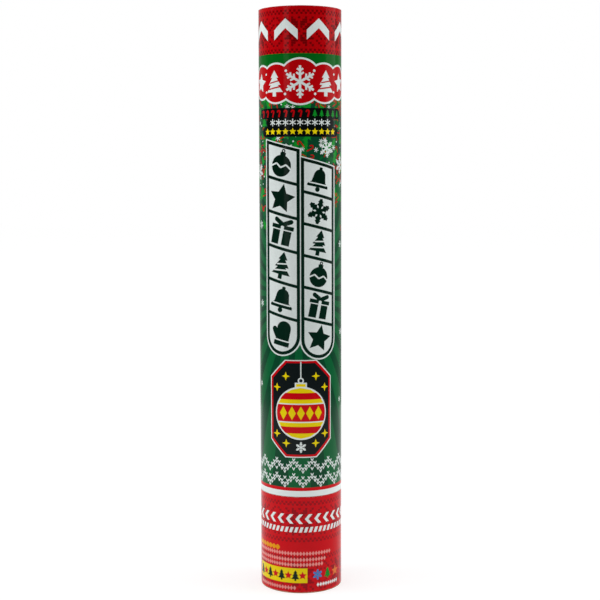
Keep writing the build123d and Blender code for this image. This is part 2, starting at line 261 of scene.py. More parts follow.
def star(points, inner):
    """A star with straight sides and one point at the top."""
    outline = []
    for i in range(2 * points):
        angle = math.radians(90 + 180 * i / points)
        radius = 1 if i % 2 == 0 else inner
        outline.append((radius * math.cos(angle), radius * math.sin(angle)))
    return outline


def belt(centre, radius, foot, top):
    """The part of a disc between two heights above its centre."""
    first = math.degrees(math.asin(foot / radius))
    last = math.degrees(math.asin(top / radius))
    return arc(centre, radius, first, last) + arc(centre, radius, 180 - last, 180 - first)


# Bold figures: what is painted, and what is cut out of it again

def star_figure():
    """A bold star."""
    return [("paint", moved(star(5, 0.5), (0, -0.06), 1.1))]


def tree_figure():
    """A bold tree with two garlands."""
    garlands = [bar((-0.62, -0.42), (0.6, -0.24), 0.11), bar((-0.44, 0.06), (0.42, 0.22), 0.1)]
    return [("paint", moved(tree(), (0, 0), 1.05))] + [("cut", g) for g in garlands]


def cane_figure():
    """A bold cane with slanted stripes."""
    stripes = [bar((-0.02, y), (0.66, y + 0.3), 0.13) for y in (-0.86, -0.46, -0.06)]
    stripes += [bar((0.1, 0.5), (0.46, 0.98), 0.13), bar((-0.4, 0.62), (-0.12, 1.05), 0.13)]
    return [("paint", cane(0.46, 0.4))] + [("cut", s) for s in stripes]


def snowflake_figure():
    """A bold snowflake."""
    return [("paint", stroke) for stroke in snowflake(0.26)]


def bell_figure():
    """A bell with its clapper and a cut line above the rim."""
    crown = [(0, 0.98), (0.14, 0.94), (0.14, 0.8)]
    side = arc((0, 0.28), 0.52, 75, 0, 6) + [(0.62, -0.2), (0.92, -0.46), (0.92, -0.62), (0, -0.62)]
    return [("paint", mirrored(crown + side)), ("paint", disc((0, -0.78), 0.2, 16)),
            ("cut", box(-0.78, -0.4, 0.78, -0.3))]


def gift_figure():
    """A box with a lid, a ribbon and a bow."""
    bows = [moved(lozenge(-0.44, -0.17, 0.44, 0.17), (side * 0.36, 0.72), 1, side * 28) for side in (-1, 1)]
    return ([("paint", box(-0.78, -0.95, 0.78, 0.12)), ("paint", box(-0.9, 0.2, 0.9, 0.5)),
             ("cut", box(-0.13, -0.95, 0.13, 0.5))] + [("paint", b) for b in bows])


def bauble_figure():
    """A round bauble with a cap, a loop and a cut zigzag."""
    waves = [bar((-0.8 + 0.4 * i, -0.3 + 0.26 * (i % 2)), (-0.4 + 0.4 * i, -0.04 - 0.26 * (i % 2)), 0.12)
             for i in range(4)]
    return ([("paint", disc((0, -0.18), 0.8, 32)), ("paint", box(-0.22, 0.56, 0.22, 0.82)),
             ("paint", disc((0, 0.92), 0.15, 14)), ("cut", disc((0, 0.92), 0.06, 10))]
            + [("cut", w) for w in waves])


def mitten_figure():
    """A mitten with a gap above its cuff."""
    palm = arc((0.08, 0.36), 0.56, 0, 180, 14) + [(-0.48, -0.5), (0.64, -0.5)]
    thumb = moved(lozenge(-0.46, -0.22, 0.46, 0.22), (-0.52, -0.02), 1, 128)
    return [("paint", palm), ("paint", thumb), ("paint", box(-0.56, -0.95, 0.72, -0.6))]


# The knit chart, counted in stitches from the middle of a star

STAR_ROWS = {6: (3,), 5: (2, 3), 4: (1, 2, 3), 3: (1, 2, 4, 5, 6), 2: (1, 3, 4, 5), 1: (2, 3, 4)}
LONE_STITCHES = ((0, 0), (0, 6), (6, 0), (5, 5), (6, 6))
LATTICE_STITCHES = ((3, 4), (2, 5), (1, 6), (3, 1), (2, 2), (1, 3))
STAR_PERIOD = 22
KNIT_COLUMN = 1.37
KNIT_ROW = 1.34
BARREL_KNIT_FRONT = -0.5
HANDLE_KNIT_FRONT = -1.0
CHECKER_ROWS = ((9, 0), (8, 1), (-8, 1), (-9, 0))


def knit_stitches():
    """The places of one repeat of the chart, as columns and rows."""
    quarter = [(column, row) for row, columns in STAR_ROWS.items() for column in columns]
    signs = [(x, y) for x in (-1, 1) for y in (-1, 1)]
    places = {(x * c, y * r) for c, r in quarter + list(LONE_STITCHES) for x, y in signs}
    places |= {(STAR_PERIOD // 2 + x * c, y * r) for c, r in LATTICE_STITCHES for x, y in signs}
    columns = range(1 - STAR_PERIOD // 2, 1 + STAR_PERIOD // 2)
    places |= {(c, row) for row, odd in CHECKER_ROWS for c in columns if c % 2 == odd}
    return sorted(places)


class LabelArt:
    """The flat print of one label: outlines in the order they are laid, each with its ink"""

    def __init__(self, foot, top, ground, overlap):
        self.left = -HALF_TURN
        self.right = HALF_TURN + overlap
        self.foot = foot
        self.top = top
        self.layers = []
        self.band(ground, foot, top)

    def lay(self, ink, *outlines):
        """Lays outlines in one ink, cut off at the sheet's edges."""
        limits = ((0, self.left, 1), (0, self.right, -1), (1, self.foot, 1), (1, self.top, -1))
        for cut in outlines:
            for side, limit, sign in limits:
                cut = trimmed(cut, side, limit, sign)
            if len(cut) > 2:
                self.layers.append((ink, cut))

    def stamp(self, ink, outlines, place, size=1.0, turn=0.0):
        """Lays a mark of several outlines at a place."""
        self.lay(ink, *(moved(outline, place, size, turn) for outline in outlines))

    def band(self, ink, foot, top):
        """Lays a band right round."""
        self.lay(ink, box(self.left, foot, self.right, top))

    def figure(self, parts, paint, cut, place, size, turn=0.0):
        """Lays a figure of painted and cut parts."""
        for kind, outline in parts:
            self.stamp(paint if kind == "paint" else cut, [outline], place, size, turn)

    def knit(self, row_zero, front):
        """Lays the knit chart right round, with a star at the front."""
        stitch = mirrored([(x * KNIT_COLUMN, y * KNIT_ROW) for x, y in STITCH_SHARES])
        repeats = math.ceil(self.right / (STAR_PERIOD * KNIT_COLUMN))
        for repeat in range(-repeats, repeats + 1):
            for column, row in knit_stitches():
                across = front + (column + repeat * STAR_PERIOD) * KNIT_COLUMN
                self.stamp("dark_red", [stitch], (across, row_zero + row * KNIT_ROW))


def trimmed(outline, side, limit, sign):
    """An outline cut off at a straight limit across one side."""
    kept = []
    for here, after in zip(outline, outline[1:] + outline[:1]):
        inside = sign * (here[side] - limit) >= 0
        if inside:
            kept.append(here)
        if inside != (sign * (after[side] - limit) >= 0):
            share = (limit - here[side]) / (after[side] - here[side])
            kept.append(tuple(a + share * (b - a) for a, b in zip(here, after)))
    return kept


LAP_STEPS = 6


def right_round(count):
    """The steps of a pattern that repeats round the tube, with some to spare for the lap."""
    return range(-count // 2 - 1, count // 2 + LAP_STEPS)


# The barrel's print

CHEVRON_STEPS = range(-3, 5)
CHEVRON_STEP_ANGLE = 46.3
CHEVRON_FIRST_ANGLE = -20.05
CHEVRON_HALF = 7.55
CHEVRON_TIP = 348.3
CHEVRON_NOTCH = 342.6
CHEVRON_SHOULDER = 341.5
CHEVRON_FOOT = 335.7
BARREL_KNIT_ROW = 340.5

RAY_CENTRE = (-1.2, 184)
RAY_COUNT = 28
RAY_ANGLE = 5.8
RAY_LENGTH = 400

SCATTER_TOP = 327
SCATTER_FULL = 256
SCATTER_FOOT = 221
SCATTER_CELL = 3.5
SCATTER_GROWTH_SHARES = (0.8, 1.25)
# Each mark is taken below a limit of the draw: limit, ink, outlines, size and share of the turn
SCATTER_MARKS = (
    (0.26, "ray_green", [tree()], 4.2, 0.25),
    (0.5, "leaf_green", [tree()], 2.9, 0.2),
    (0.84, "red", [cane(0.28)], 2.1, 1),
    (0.93, "white", snowflake(0.26, False), 1.4, 1),
    (1, "white", [disc((0, 0), 1, 8)], 0.5, 0),
)
PLAIN_GREEN_FOOT = 318

# Places across and up, sizes and turns
LARGE_FLAKES = (
    (17, 272, 5.6, 8), (-7.5, 271, 3.8, 20), (31, 262, 5.2, 0), (-33, 258, 5.0, 14), (44, 286, 4.6, 5),
    (-47, 290, 5.0, 25), (70, 280, 5.4, 12), (-70, 262, 5.2, 3), (-31, 226, 2.6, 10), (32, 214, 2.4, 22),
    (-30, 178, 2.2, 0), (33, 160, 2.2, 15), (-32, 128, 1.9, 9), (31, 118, 1.8, 4), (46, 104, 2.2, 18),
    (-46, 98, 2.4, 12), (72, 110, 2.6, 0), (-72, 120, 2.4, 20),
)

# Places from the plaque's middle, with radii or sizes
PLAQUE_HEIGHT = 311
PLAQUE_LOBES = (
    (0, 0.3, 13.0), (15.5, -0.6, 11.2), (-15.5, -0.6, 11.2), (28.5, 0.4, 9.6), (-28.5, 0.4, 9.6),
)
PLAQUE_EDGE = 1.1
PLAQUE_FLAKE = 9.6
PLAQUE_TREE = (16.6, -0.8, 7.6)
PLAQUE_STAR = (30, 0.4, 5.4)
PLAQUE_STAR_TURN = 8
PLAQUE_DOTS = ((8.6, 6.6, 0.8), (9.2, -7, 0.8), (23.6, 5, 0.7), (23.4, -5.6, 0.7))

ICON_ROWS = ((292.6, 30.5), (287.2, 23.5), (281.8, 27.5))
ICON_ROW_HALF = 3.1
ICON_SIZE = 2.15
ICON_PITCH = 4.5
ICON_CANE_TURN = -14
ICON_FIRST_TREE = 2
ICON_TREE_SHARE = 1.06

PANEL_EDGE = 0.9
PANEL_MARGIN = 2.0
PANEL_HEAD = 2.4
PANEL_SLOPE_SHARE = 0.25
PANEL_COLUMNS = ((-23.3, 147.6, -0.3, 277.0), (0.3, 145.4, 23.3, 266.6))
PANEL_GAP = 1.9
PANEL_FIGURES = ((bauble_figure, star_figure, gift_figure, tree_figure, bell_figure, mitten_figure),
                 (bell_figure, snowflake_figure, tree_figure, bauble_figure, gift_figure, star_figure))
FIGURE_SHARE = 0.4
FIGURE_TURN = -12

TILE_CENTRE = (0, 114.6)
TILE_HALF = (20.4, 30.0)
TILE_CORNER = 10.5
TILE_CORNER_SHARE = 0.4
TILE_EDGES = (("white", 0.0), ("red", 0.6), ("black", 1.9))
BALL_CENTRE = (0, 112.0)
BALL_RADIUS = 15.6
BALL_EDGE = 0.8
BALL_BELTS = (
    ("yellow", -BALL_RADIUS, BALL_RADIUS), ("red", -12.4, -8.4), ("red", 8.4, 12.4),
    ("white", -5.9, 5.9), ("red", -5.2, 5.2),
)
BALL_DIAMOND = [(0, -4.2), (2.4, 0), (0, 4.2), (-2.4, 0)]
BALL_DIAMOND_PITCH = 5.5
BALL_DIAMONDS = range(-2, 3)
BALL_CAP = (("white", 3.7, 3.2), ("yellow", 2.9, 2.4))
BALL_CAP_SINK = 1.2
HANGER_HALF = 0.35
HANGER_END = 1.0
LOOP_RISE = 4.4
LOOP_OUTER = 1.9
LOOP_INNER = 1.05
TILE_FLAKE = (0, 91.0)
TILE_FLAKE_SIZE = 3.4
TILE_SPARKS = ((9.4, 134.6), (9.2, 93.4), (15.4, 127.6), (15.6, 99.0))
TILE_SPARK_SIZE = 2.7

ZIGZAG_COLUMNS = 84
ZIGZAG_PERIOD = 6
ZIGZAG_ROW = 1.84
ZIGZAG_TOPS = (83.3, 74.1)
ZIGZAG_LONE = ((0, -3), (3, -1))
ZIGZAG_FIRST_ANGLE = -10.2

BADGE_PLACES = ((58, 236), (58, 190), (58, 144), (-58, 236), (-58, 190), (-58, 144))
BADGE_RADIUS = 12.5
BADGE_RINGS = (("white", 0.0), ("red", 0.8), ("panel_green", 2.2))
BADGE_FIGURE_SHARE = 0.6
BADGE_FIGURES = (snowflake_figure, tree_figure, cane_figure, cane_figure, snowflake_figure, tree_figure)


def chevrons_up(art):
    """White chevrons that point at the muzzle."""
    outer = [(0, CHEVRON_TIP), (CHEVRON_HALF, CHEVRON_SHOULDER)]
    inner = [(CHEVRON_HALF, CHEVRON_FOOT), (0, CHEVRON_NOTCH)]
    for step in CHEVRON_STEPS:
        across = math.radians(CHEVRON_FIRST_ANGLE + CHEVRON_STEP_ANGLE * step) * LABEL_RADIUS
        art.stamp("white", [mirrored(outer + inner)], (across, 0))


def rays(art):
    """Darker rays behind everything on the green ground."""
    for i in range(RAY_COUNT):
        first = 360 * (i + 0.5) / RAY_COUNT - RAY_ANGLE / 2
        art.lay("ray_green", [RAY_CENTRE] + arc(RAY_CENTRE, RAY_LENGTH, first, first + RAY_ANGLE, 1))


def scatter(art, seed):
    """Small trees, canes, snowflakes and dots, thick at the top and thinning out downwards."""
    draw = random.Random(seed)
    columns = int((art.right - art.left) / SCATTER_CELL)
    rows = int((SCATTER_TOP - SCATTER_FOOT) / SCATTER_CELL)
    layers = {"ray_green": [], "leaf_green": [], "red": [], "white": []}
    for row, column in product(range(rows), range(columns)):
        across = art.left + (column + draw.random()) * SCATTER_CELL
        up = SCATTER_FOOT + (row + draw.random()) * SCATTER_CELL
        shown = draw.random() < (up - SCATTER_FOOT) / (SCATTER_FULL - SCATTER_FOOT)
        kind = draw.random()
        turn = draw.uniform(-180, 180)
        growth = draw.uniform(*SCATTER_GROWTH_SHARES)
        if shown:
            ink, outlines, size, turn_share = next(mark[1:] for mark in SCATTER_MARKS if kind < mark[0])
            layers[ink] += [moved(o, (across, up), size * growth, turn * turn_share) for o in outlines]
    for ink, outlines in layers.items():
        art.lay(ink, *outlines)


def large_flakes(art):
    """A few large snowflakes over the scattered print, and small ones lower down."""
    for across, up, size, turn in LARGE_FLAKES:
        art.stamp("white", snowflake(0.16), (across, up), size, turn)


def plaque(art):
    """A red plaque of round lobes, with white figures."""
    for ink, grow in (("white", PLAQUE_EDGE), ("red", 0.0)):
        for across, up, radius in PLAQUE_LOBES:
            art.lay(ink, disc((across, PLAQUE_HEIGHT + up), radius + grow, 48))
    art.stamp("white", snowflake(0.15), (0, PLAQUE_HEIGHT), PLAQUE_FLAKE)
    for side in (-1, 1):
        across, up, size = PLAQUE_TREE
        art.figure(tree_figure(), "white", "red", (side * across, PLAQUE_HEIGHT + up), size)
        across, up, size = PLAQUE_STAR
        place = (side * across, PLAQUE_HEIGHT + up)
        art.figure(star_figure(), "white", "red", place, size, side * PLAQUE_STAR_TURN)
        for across, up, radius in PLAQUE_DOTS:
            art.lay("white", disc((side * across, PLAQUE_HEIGHT + up), radius, 14))


def icon_rows(art):
    """Three black strips with small coloured icons."""
    for height, half in ICON_ROWS:
        art.lay("black", lozenge(-half, height - ICON_ROW_HALF, half, height + ICON_ROW_HALF))
    for row, (height, half) in enumerate(ICON_ROWS):
        count = int((half - ICON_ROW_HALF / 2) / ICON_PITCH)
        for i in range(-count, count + 1):
            place = (i * ICON_PITCH, height)
            if row == 0 and i < ICON_FIRST_TREE:
                art.stamp("red", [cane(0.46)], place, ICON_SIZE, ICON_CANE_TURN)
            elif row == 0:
                art.stamp("leaf_green", [tree()], place, ICON_SIZE * ICON_TREE_SHARE)
            elif row == 1:
                art.stamp("white", snowflake(0.28, False), place, ICON_SIZE)
            else:
                art.stamp("yellow", [star(5, 0.48)], place, ICON_SIZE)


def banner(left, foot, right, top, round_foot):
    """An upright strip whose top slopes down to the right, with a sloping or a round foot."""
    drop = PANEL_SLOPE_SHARE * (right - left)
    head = [(right, top - drop), (left, top)]
    if not round_foot:
        return head + [(left, foot), (right, foot - drop)]
    radius = (right - left) / 2
    return head + arc(((left + right) / 2, foot + radius), radius, 180, 360, 14)


def figure_panel(art):
    """Two dark strips of slanted white tiles, each with a figure cut out of it."""
    for ink, grow in (("white", PANEL_EDGE), ("panel_green", 0.0)):
        for left, foot, right, top in PANEL_COLUMNS:
            art.lay(ink, banner(left - grow, foot - grow, right + grow, top + grow, True))
    for (left, foot, right, top), figures in zip(PANEL_COLUMNS, PANEL_FIGURES):
        sides = (left + PANEL_MARGIN, right - PANEL_MARGIN)
        drop = PANEL_SLOPE_SHARE * (sides[1] - sides[0])
        head = top - PANEL_HEAD
        pitch = (head - drop / 2 - foot - PANEL_MARGIN) / len(figures)
        for i, figure in enumerate(figures):
            last = i == len(figures) - 1
            tile_top = head - i * pitch
            tile_foot = foot + PANEL_MARGIN if last else tile_top - pitch + PANEL_GAP
            art.lay("white", banner(sides[0], tile_foot, sides[1], tile_top, last))
            place = ((left + right) / 2, tile_top - drop / 2 - (pitch - PANEL_GAP) / 2)
            negative = [("cut" if kind == "paint" else "paint", outline) for kind, outline in figure()]
            art.figure(negative, "white", "panel_green", place, pitch * FIGURE_SHARE, FIGURE_TURN)


def octagon(half, corner):
    """An upright octagon with cut corners."""
    wide, tall = half
    upper = [(wide - corner, tall), (wide, tall - corner)]
    return mirrored(upper + [(x, -y) for x, y in reversed(upper)])


def ball_tile(art):
    """A black tile with a hanging bauble, belted in yellow and red."""
    for ink, inset in TILE_EDGES:
        half = [side - inset for side in TILE_HALF]
        art.stamp(ink, [octagon(half, TILE_CORNER - TILE_CORNER_SHARE * inset)], TILE_CENTRE)
    tip = BALL_CENTRE[1] + BALL_RADIUS
    loop = (0, tip + LOOP_RISE)
    art.lay("white", box(-HANGER_HALF, tip, HANGER_HALF, TILE_CENTRE[1] + TILE_HALF[1] - HANGER_END))
    art.lay("white", disc(loop, LOOP_OUTER, 20))
    art.lay("black", disc(loop, LOOP_INNER, 16))
    for ink, half, rise in BALL_CAP:
        art.lay(ink, box(-half, tip - BALL_CAP_SINK, half, tip + rise))
    art.lay("white", disc(BALL_CENTRE, BALL_RADIUS + BALL_EDGE, 64))
    for ink, foot, top in BALL_BELTS:
        art.lay(ink, belt(BALL_CENTRE, BALL_RADIUS, foot, top))
    for i in BALL_DIAMONDS:
        art.stamp("yellow", [BALL_DIAMOND], (i * BALL_DIAMOND_PITCH, BALL_CENTRE[1]))
    art.stamp("white", snowflake(0.2), TILE_FLAKE, TILE_FLAKE_SIZE)
    for across, up in TILE_SPARKS:
        for side in (-1, 1):
            art.stamp("yellow", [star(4, 0.36)], (side * across, up), TILE_SPARK_SIZE)


def zigzags(art):
    """Two zigzag rows of white knit stitches, with a lone stitch in each bend."""
    column_width = 2 * HALF_TURN / ZIGZAG_COLUMNS
    vee = mirrored([(x * column_width, y * ZIGZAG_ROW) for x, y in VEE_SHARES])
    first = math.radians(ZIGZAG_FIRST_ANGLE) * LABEL_RADIUS
    for top, (lone_column, lone_row) in zip(ZIGZAG_TOPS, ZIGZAG_LONE):
        for column in right_round(ZIGZAG_COLUMNS):
            step = column % ZIGZAG_PERIOD
            drop = min(step, ZIGZAG_PERIOD - step)
            rows = [-drop, -drop - 1] + ([lone_row] if step == lone_column else [])
            for row in rows:
                art.stamp("white", [vee], (first + column * column_width, top + row * ZIGZAG_ROW))


def badges(art):
    """Round badges at the back, each with one of the three confetti shapes."""
    for place, figure in zip(BADGE_PLACES, BADGE_FIGURES):
        for ink, inset in BADGE_RINGS:
            art.lay(ink, disc(place, BADGE_RADIUS - inset, 40))
        art.figure(figure(), "white", "panel_green", place, BADGE_RADIUS * BADGE_FIGURE_SHARE)


def barrel_art(sizes):
    """All that is printed on the barrel."""
    art = LabelArt(BARREL_FOOT, BARREL_TOP, "green", sizes.overlap / MM)
    rays(art)
    scatter(art, sizes.motif_seed)
    large_flakes(art)
    art.band("green", PLAIN_GREEN_FOOT, RED_BAND_FOOT)
    icon_rows(art)
    plaque(art)
    badges(art)
    ball_tile(art)
    figure_panel(art)
    zigzags(art)
    art.band("red", WHITE_BAND_TOP, RED_LINE_TOP)
    art.band("white", BARREL_FOOT, WHITE_BAND_TOP)
    art.band("red", RED_BAND_FOOT, BARREL_TOP)
    art.knit(BARREL_KNIT_ROW, BARREL_KNIT_FRONT)
    chevrons_up(art)
    return art


# The handle's print

HANDLE_KNIT_ROWS = (44.8, 10.5)
ARROW_COUNT = 27
ARROW_FIRST_ANGLE = -8.2
ARROW_HALF = 2.95
ARROW_SHARES = [(0, 0), (2.5, 1), (4.75, 1), (2.2, 0), (4.75, -1), (2.5, -1)]
ARROW_HEIGHT = 46.5
ROPE_COUNT = 52
ROPE_HEIGHT = 39.8
ROPE_MARK = [(-1.5, -1.65), (0.3, -1.65), (1.5, 1.65), (-0.3, 1.65)]
PIP_ROWS = (("pink", 24.8, -33.5, 19.4), ("pink", 21.0, -33.5, 16.0), ("pink", 17.8, -33.5, 15.2),
            ("pink", 3.3, -31.5, -3.0), ("white", 4.8, 10.6, 28.0))
PIP_PITCH = 1.95
PIP_HALVES = (0.97, 1.4)
BEAD_ROW = (28.0, -33.5, -14.0)
BEAD_PITCH = 3.0
BEAD_SHARES = (0.58, 0.84)
YELLOW_PANEL = (-33.5, 6.4, 3.8, 15.6)
YELLOW_PANEL_MARGIN = 3
YELLOW_PANEL_PITCH = 4.5
YELLOW_PANEL_FIGURES = 8
SMALL_TREE = 3.5
SMALL_STAR = 2.7
# Figures beside the panel: ink, outlines, place and size
SMALL_FIGURES = (
    ("blue", snowflake(0.24), (10.4, 11.2), 3.3),
    ("leaf_green", [tree()], (17.6, 11.4), SMALL_TREE),
    ("orange", [star(5, 0.46)], (24.6, 11.2), 3.3),
)


def arrows_round(art):
    """White chevrons that point the way the handle turns."""
    outline = [(x, y * ARROW_HALF) for x, y in reversed(ARROW_SHARES)]
    for i in right_round(ARROW_COUNT):
        across = (math.radians(ARROW_FIRST_ANGLE) + 2 * math.pi * i / ARROW_COUNT) * LABEL_RADIUS
        art.stamp("white", [outline], (across, ARROW_HEIGHT))


def rope_round(art):
    """A twisted rope of slanted white marks."""
    for i in right_round(ROPE_COUNT):
        art.stamp("white", [ROPE_MARK], (2 * HALF_TURN * i / ROPE_COUNT, ROPE_HEIGHT))


def pip_rows(art):
    """Rows of small diamonds, and a row of amber beads above them."""
    wide, tall = PIP_HALVES
    diamond = [(wide, 0), (0, tall), (-wide, 0), (0, -tall)]
    for ink, height, left, right in PIP_ROWS:
        for i in range(int((right - left) / PIP_PITCH) + 1):
            art.stamp(ink, [diamond], (left + i * PIP_PITCH, height))
    height, left, right = BEAD_ROW
    size, waist = BEAD_SHARES
    for i in range(int((right - left) / BEAD_PITCH) + 1):
        art.stamp("amber", [star(4, waist)], (left + i * BEAD_PITCH, height), BEAD_PITCH * size)


def small_panel(art):
    """A yellow panel with a row of trees and stars, and three small figures beside it."""
    left, foot, right, top = YELLOW_PANEL
    art.lay("yellow", box(*YELLOW_PANEL))
    for i in range(YELLOW_PANEL_FIGURES):
        place = (right - YELLOW_PANEL_MARGIN - YELLOW_PANEL_PITCH * i, (foot + top) / 2)
        if i % 2:
            art.stamp("panel_green", [tree()], place, SMALL_TREE)
        else:
            art.stamp("red", [star(5, 0.46)], place, SMALL_STAR)
    for ink, outlines, place, size in SMALL_FIGURES:
        art.stamp(ink, outlines, place, size)


def handle_art(sizes):
    """All that is printed on the handle."""
    art = LabelArt(HANDLE_FOOT, HANDLE_TOP, "red", sizes.overlap / MM)
    for row_zero in HANDLE_KNIT_ROWS:
        art.knit(row_zero, HANDLE_KNIT_FRONT)
    arrows_round(art)
    rope_round(art)
    pip_rows(art)
    small_panel(art)
    return art


# Rolling a flat print into a sheet

FACET_ANGLE = 3
MERGE = 1e-4
WORN_EDGE = 0.5
LAP_RISE = 2.6
MAP_SHARE = 0.96
MAP_MARGIN_SHARE = 0.02
UPRIGHT_BACK_SHARES = (0.6, 0.6)
LYING_BACK_SHARES = (0.5, 0.9)


def within(outline, across, up):
    """Which of many places lie inside an outline, by the even-odd rule."""
    hits = np.zeros(len(across), dtype=bool)
    for (x, y), (next_x, next_y) in zip(outline, outline[1:] + outline[:1]):
        if y != next_y:
            crossed = (y > up) != (next_y > up)
            hits ^= crossed & (across < x + (up - y) * (next_x - x) / (next_y - y))
    return hits


def painted(art, middles):
    """The ink of each triangle, found from its middle: the last outline that was laid over it."""
    order = np.argsort(middles[:, 0])
    across, up = middles[order].T
    top_inks = np.zeros(len(order), dtype=int)
    for ink, outline in art.layers:
        corners = np.array(outline)
        least = corners.min(axis=0)
        most = corners.max(axis=0)
        first, last = np.searchsorted(across, (least[0], most[0]))
        near = first + np.flatnonzero((up[first:last] > least[1]) & (up[first:last] < most[1]))
        top_inks[near[within(outline, across[near], up[near])]] = INKS.index(ink)
    inks = np.empty_like(top_inks)
    inks[order] = top_inks
    return inks.tolist()


def cut_sheet(art, points, edges):
    """Cuts the flat sheet along edges: its points, triangles and the ink of each triangle."""
    places, _, triangles = geometry.delaunay_2d_cdt(points, edges, [], 0, MERGE, False)[:3]
    flat = np.array([tuple(p) for p in places])
    middles = flat[np.array(triangles)].mean(axis=1)
    return places, triangles, painted(art, middles)


def shown_edges(places, triangles, inks):
    """The edges of a cut sheet that lie between two inks or on its border, and their points."""
    sides = {}
    for triangle, ink in zip(triangles, inks):
        for here, after in zip(triangle, triangle[1:] + triangle[:1]):
            sides.setdefault((min(here, after), max(here, after)), []).append(ink)
    shown = [edge for edge, pair in sides.items() if len(pair) == 1 or pair[0] != pair[1]]
    used = sorted({corner for edge in shown for corner in edge})
    place = {corner: i for i, corner in enumerate(used)}
    return [places[corner] for corner in used], [(place[a], place[b]) for a, b in shown]


def partition(art):
    """Cuts the flat sheet along every printed edge that shows and along the folds that make it round."""
    points, edges = [], []
    for _, outline in art.layers:
        first = len(points)
        count = len(outline)
        points += [Vector(p) for p in outline]
        edges += [(first + i, first + (i + 1) % count) for i in range(count)]
    points, edges = shown_edges(*cut_sheet(art, points, edges))
    step = math.radians(FACET_ANGLE) * LABEL_RADIUS
    folds = [art.left + step * i for i in range(1, int((art.right - art.left) / step) + 1)]
    lines = [((fold, art.foot), (fold, art.top)) for fold in folds if fold < art.right - MERGE]
    lines += [((art.left, z), (art.right, z)) for z in (art.foot + WORN_EDGE, art.top - WORN_EDGE)]
    for start, end in lines:
        edges.append((len(points), len(points) + 1))
        points += [Vector(start), Vector(end)]
    return cut_sheet(art, points, edges)


def lap_radius(across, sizes):
    """The label's outer radius, in millimetres, which rises where the sheet laps over its own start."""
    share = min(max((across - HALF_TURN + LAP_RISE) / LAP_RISE, 0), 1)
    return LABEL_RADIUS - sizes.overlap_step / MM * (1 - share)


def rolled_label(name, art, sizes, colours):
    """A printed sheet rolled round the tube, with its lap at the back."""
    places, triangles, inks = partition(art)
    turns = [p.x / LABEL_RADIUS for p in places]
    spots = []
    for p, turn in zip(places, turns):
        radius = lap_radius(p.x, sizes)
        spots.append(Vector((radius * math.sin(turn), -radius * math.cos(turn), p.y)) * MM)
    mesh = bpy.data.meshes.new(name)
    mesh.from_pydata(spots, [], triangles)
    mesh.polygons.foreach_set("material_index", inks)
    wear = mesh.attributes.new("wear", "FLOAT", "POINT")
    edge = [min(p.y - art.foot, art.top - p.y) for p in places]
    wear.data.foreach_set("value", [max(0.0, 1 - e / WORN_EDGE) for e in edge])
    piece = bpy.data.objects.new(name, mesh)
    bpy.context.collection.objects.link(piece)
    for ink in INKS:
        mesh.materials.append(printed_ink("ink_" + ink, ink, colours))
    mesh.materials.append(bare_paper("label_paper"))
    activate(piece)
    thicken(piece, sizes.paper, material_offset=len(INKS), material_offset_rim=len(INKS))
    map_label(piece, places, len(triangles), art)
    return piece


def map_label(piece, places, outer_count, art):
    """Unrolls the sheet on its own map and gives it the true round normals."""
    mesh = piece.data
    tall = art.top - art.foot
    wide = art.right - art.left
    scale = MAP_SHARE / max(tall, wide)
    layer = mesh.uv_layers.new(name="UVMap")
    normals = [None] * len(mesh.loops)
    for face in mesh.polygons:
        for loop in face.loop_indices:
            flat = places[mesh.loops[loop].vertex_index % len(places)]
            shares = ((flat.x - art.left) * scale, (flat.y - art.foot) * scale)
            spot = [MAP_MARGIN_SHARE + share for share in shares]
            turn = flat.x / LABEL_RADIUS
            normals[loop] = Vector((math.sin(turn), -math.cos(turn), 0))
            if face.index >= outer_count:
                spot = back_place(*spot, tall > wide)
                normals[loop] = -normals[loop] if face.index < 2 * outer_count else face.normal
            layer.data[loop].uv = spot
    mesh.polygons.foreach_set("use_smooth", [True] * len(mesh.polygons))
    mesh.normals_split_custom_set(normals)


def back_place(across, up, upright):
    """A place on the map, beside the printed side, for the same spot of the sheet's back."""
    start, share = UPRIGHT_BACK_SHARES if upright else LYING_BACK_SHARES
    return (start + across * share, up) if upright else (across, start + up * share)


# Modelling steps

def activate(piece):
    """Makes a piece the only one that is selected."""
    bpy.ops.object.select_all(action="DESELECT")
    piece.select_set(True)
    bpy.context.view_layer.objects.active = piece


def apply_modifier(piece, kind, **settings):
    """Adds a modifier to the active piece and applies it."""
    modifier = piece.modifiers.new(kind.title(), kind)
    for name, value in settings.items():
        setattr(modifier, name, value)
    bpy.ops.object.modifier_apply(modifier=modifier.name)


def thicken(piece, thickness, **settings):
    """Gives a sheet its thickness, inwards."""
    apply_modifier(piece, "SOLIDIFY", thickness=thickness, offset=-1, **settings)


def turned(name, rings, sides, closed=True):
    """A circle extruded from ring to ring, each a radius and a height, and back to the first if closed."""
    bpy.ops.object.select_all(action="DESELECT")
    radius, height = rings[0]
    bpy.ops.mesh.primitive_circle_add(vertices=sides, radius=radius, location=(0, 0, height))
    piece = bpy.context.object
    piece.name = name
    piece.data.name = name
    bpy.ops.object.transform_apply(location=True, rotation=True, scale=True)
    bpy.ops.object.mode_set(mode="EDIT")
    bpy.ops.mesh.select_all(action="SELECT")
    for next_radius, next_height in rings[1:] + (rings[:1] if closed else []):
        bpy.ops.mesh.extrude_edges_move(TRANSFORM_OT_translate={"value": (0, 0, next_height - height)})
        share = next_radius / radius
        bpy.ops.transform.resize(value=(share, share, 1), center_override=(0, 0, next_height))
        radius, height = next_radius, next_height
    bpy.ops.mesh.select_all(action="SELECT")
    if closed:
        bpy.ops.mesh.remove_doubles(threshold=MERGE * MM)
    bpy.ops.mesh.normals_make_consistent(inside=False)
    bpy.ops.object.mode_set(mode="OBJECT")
    return piece


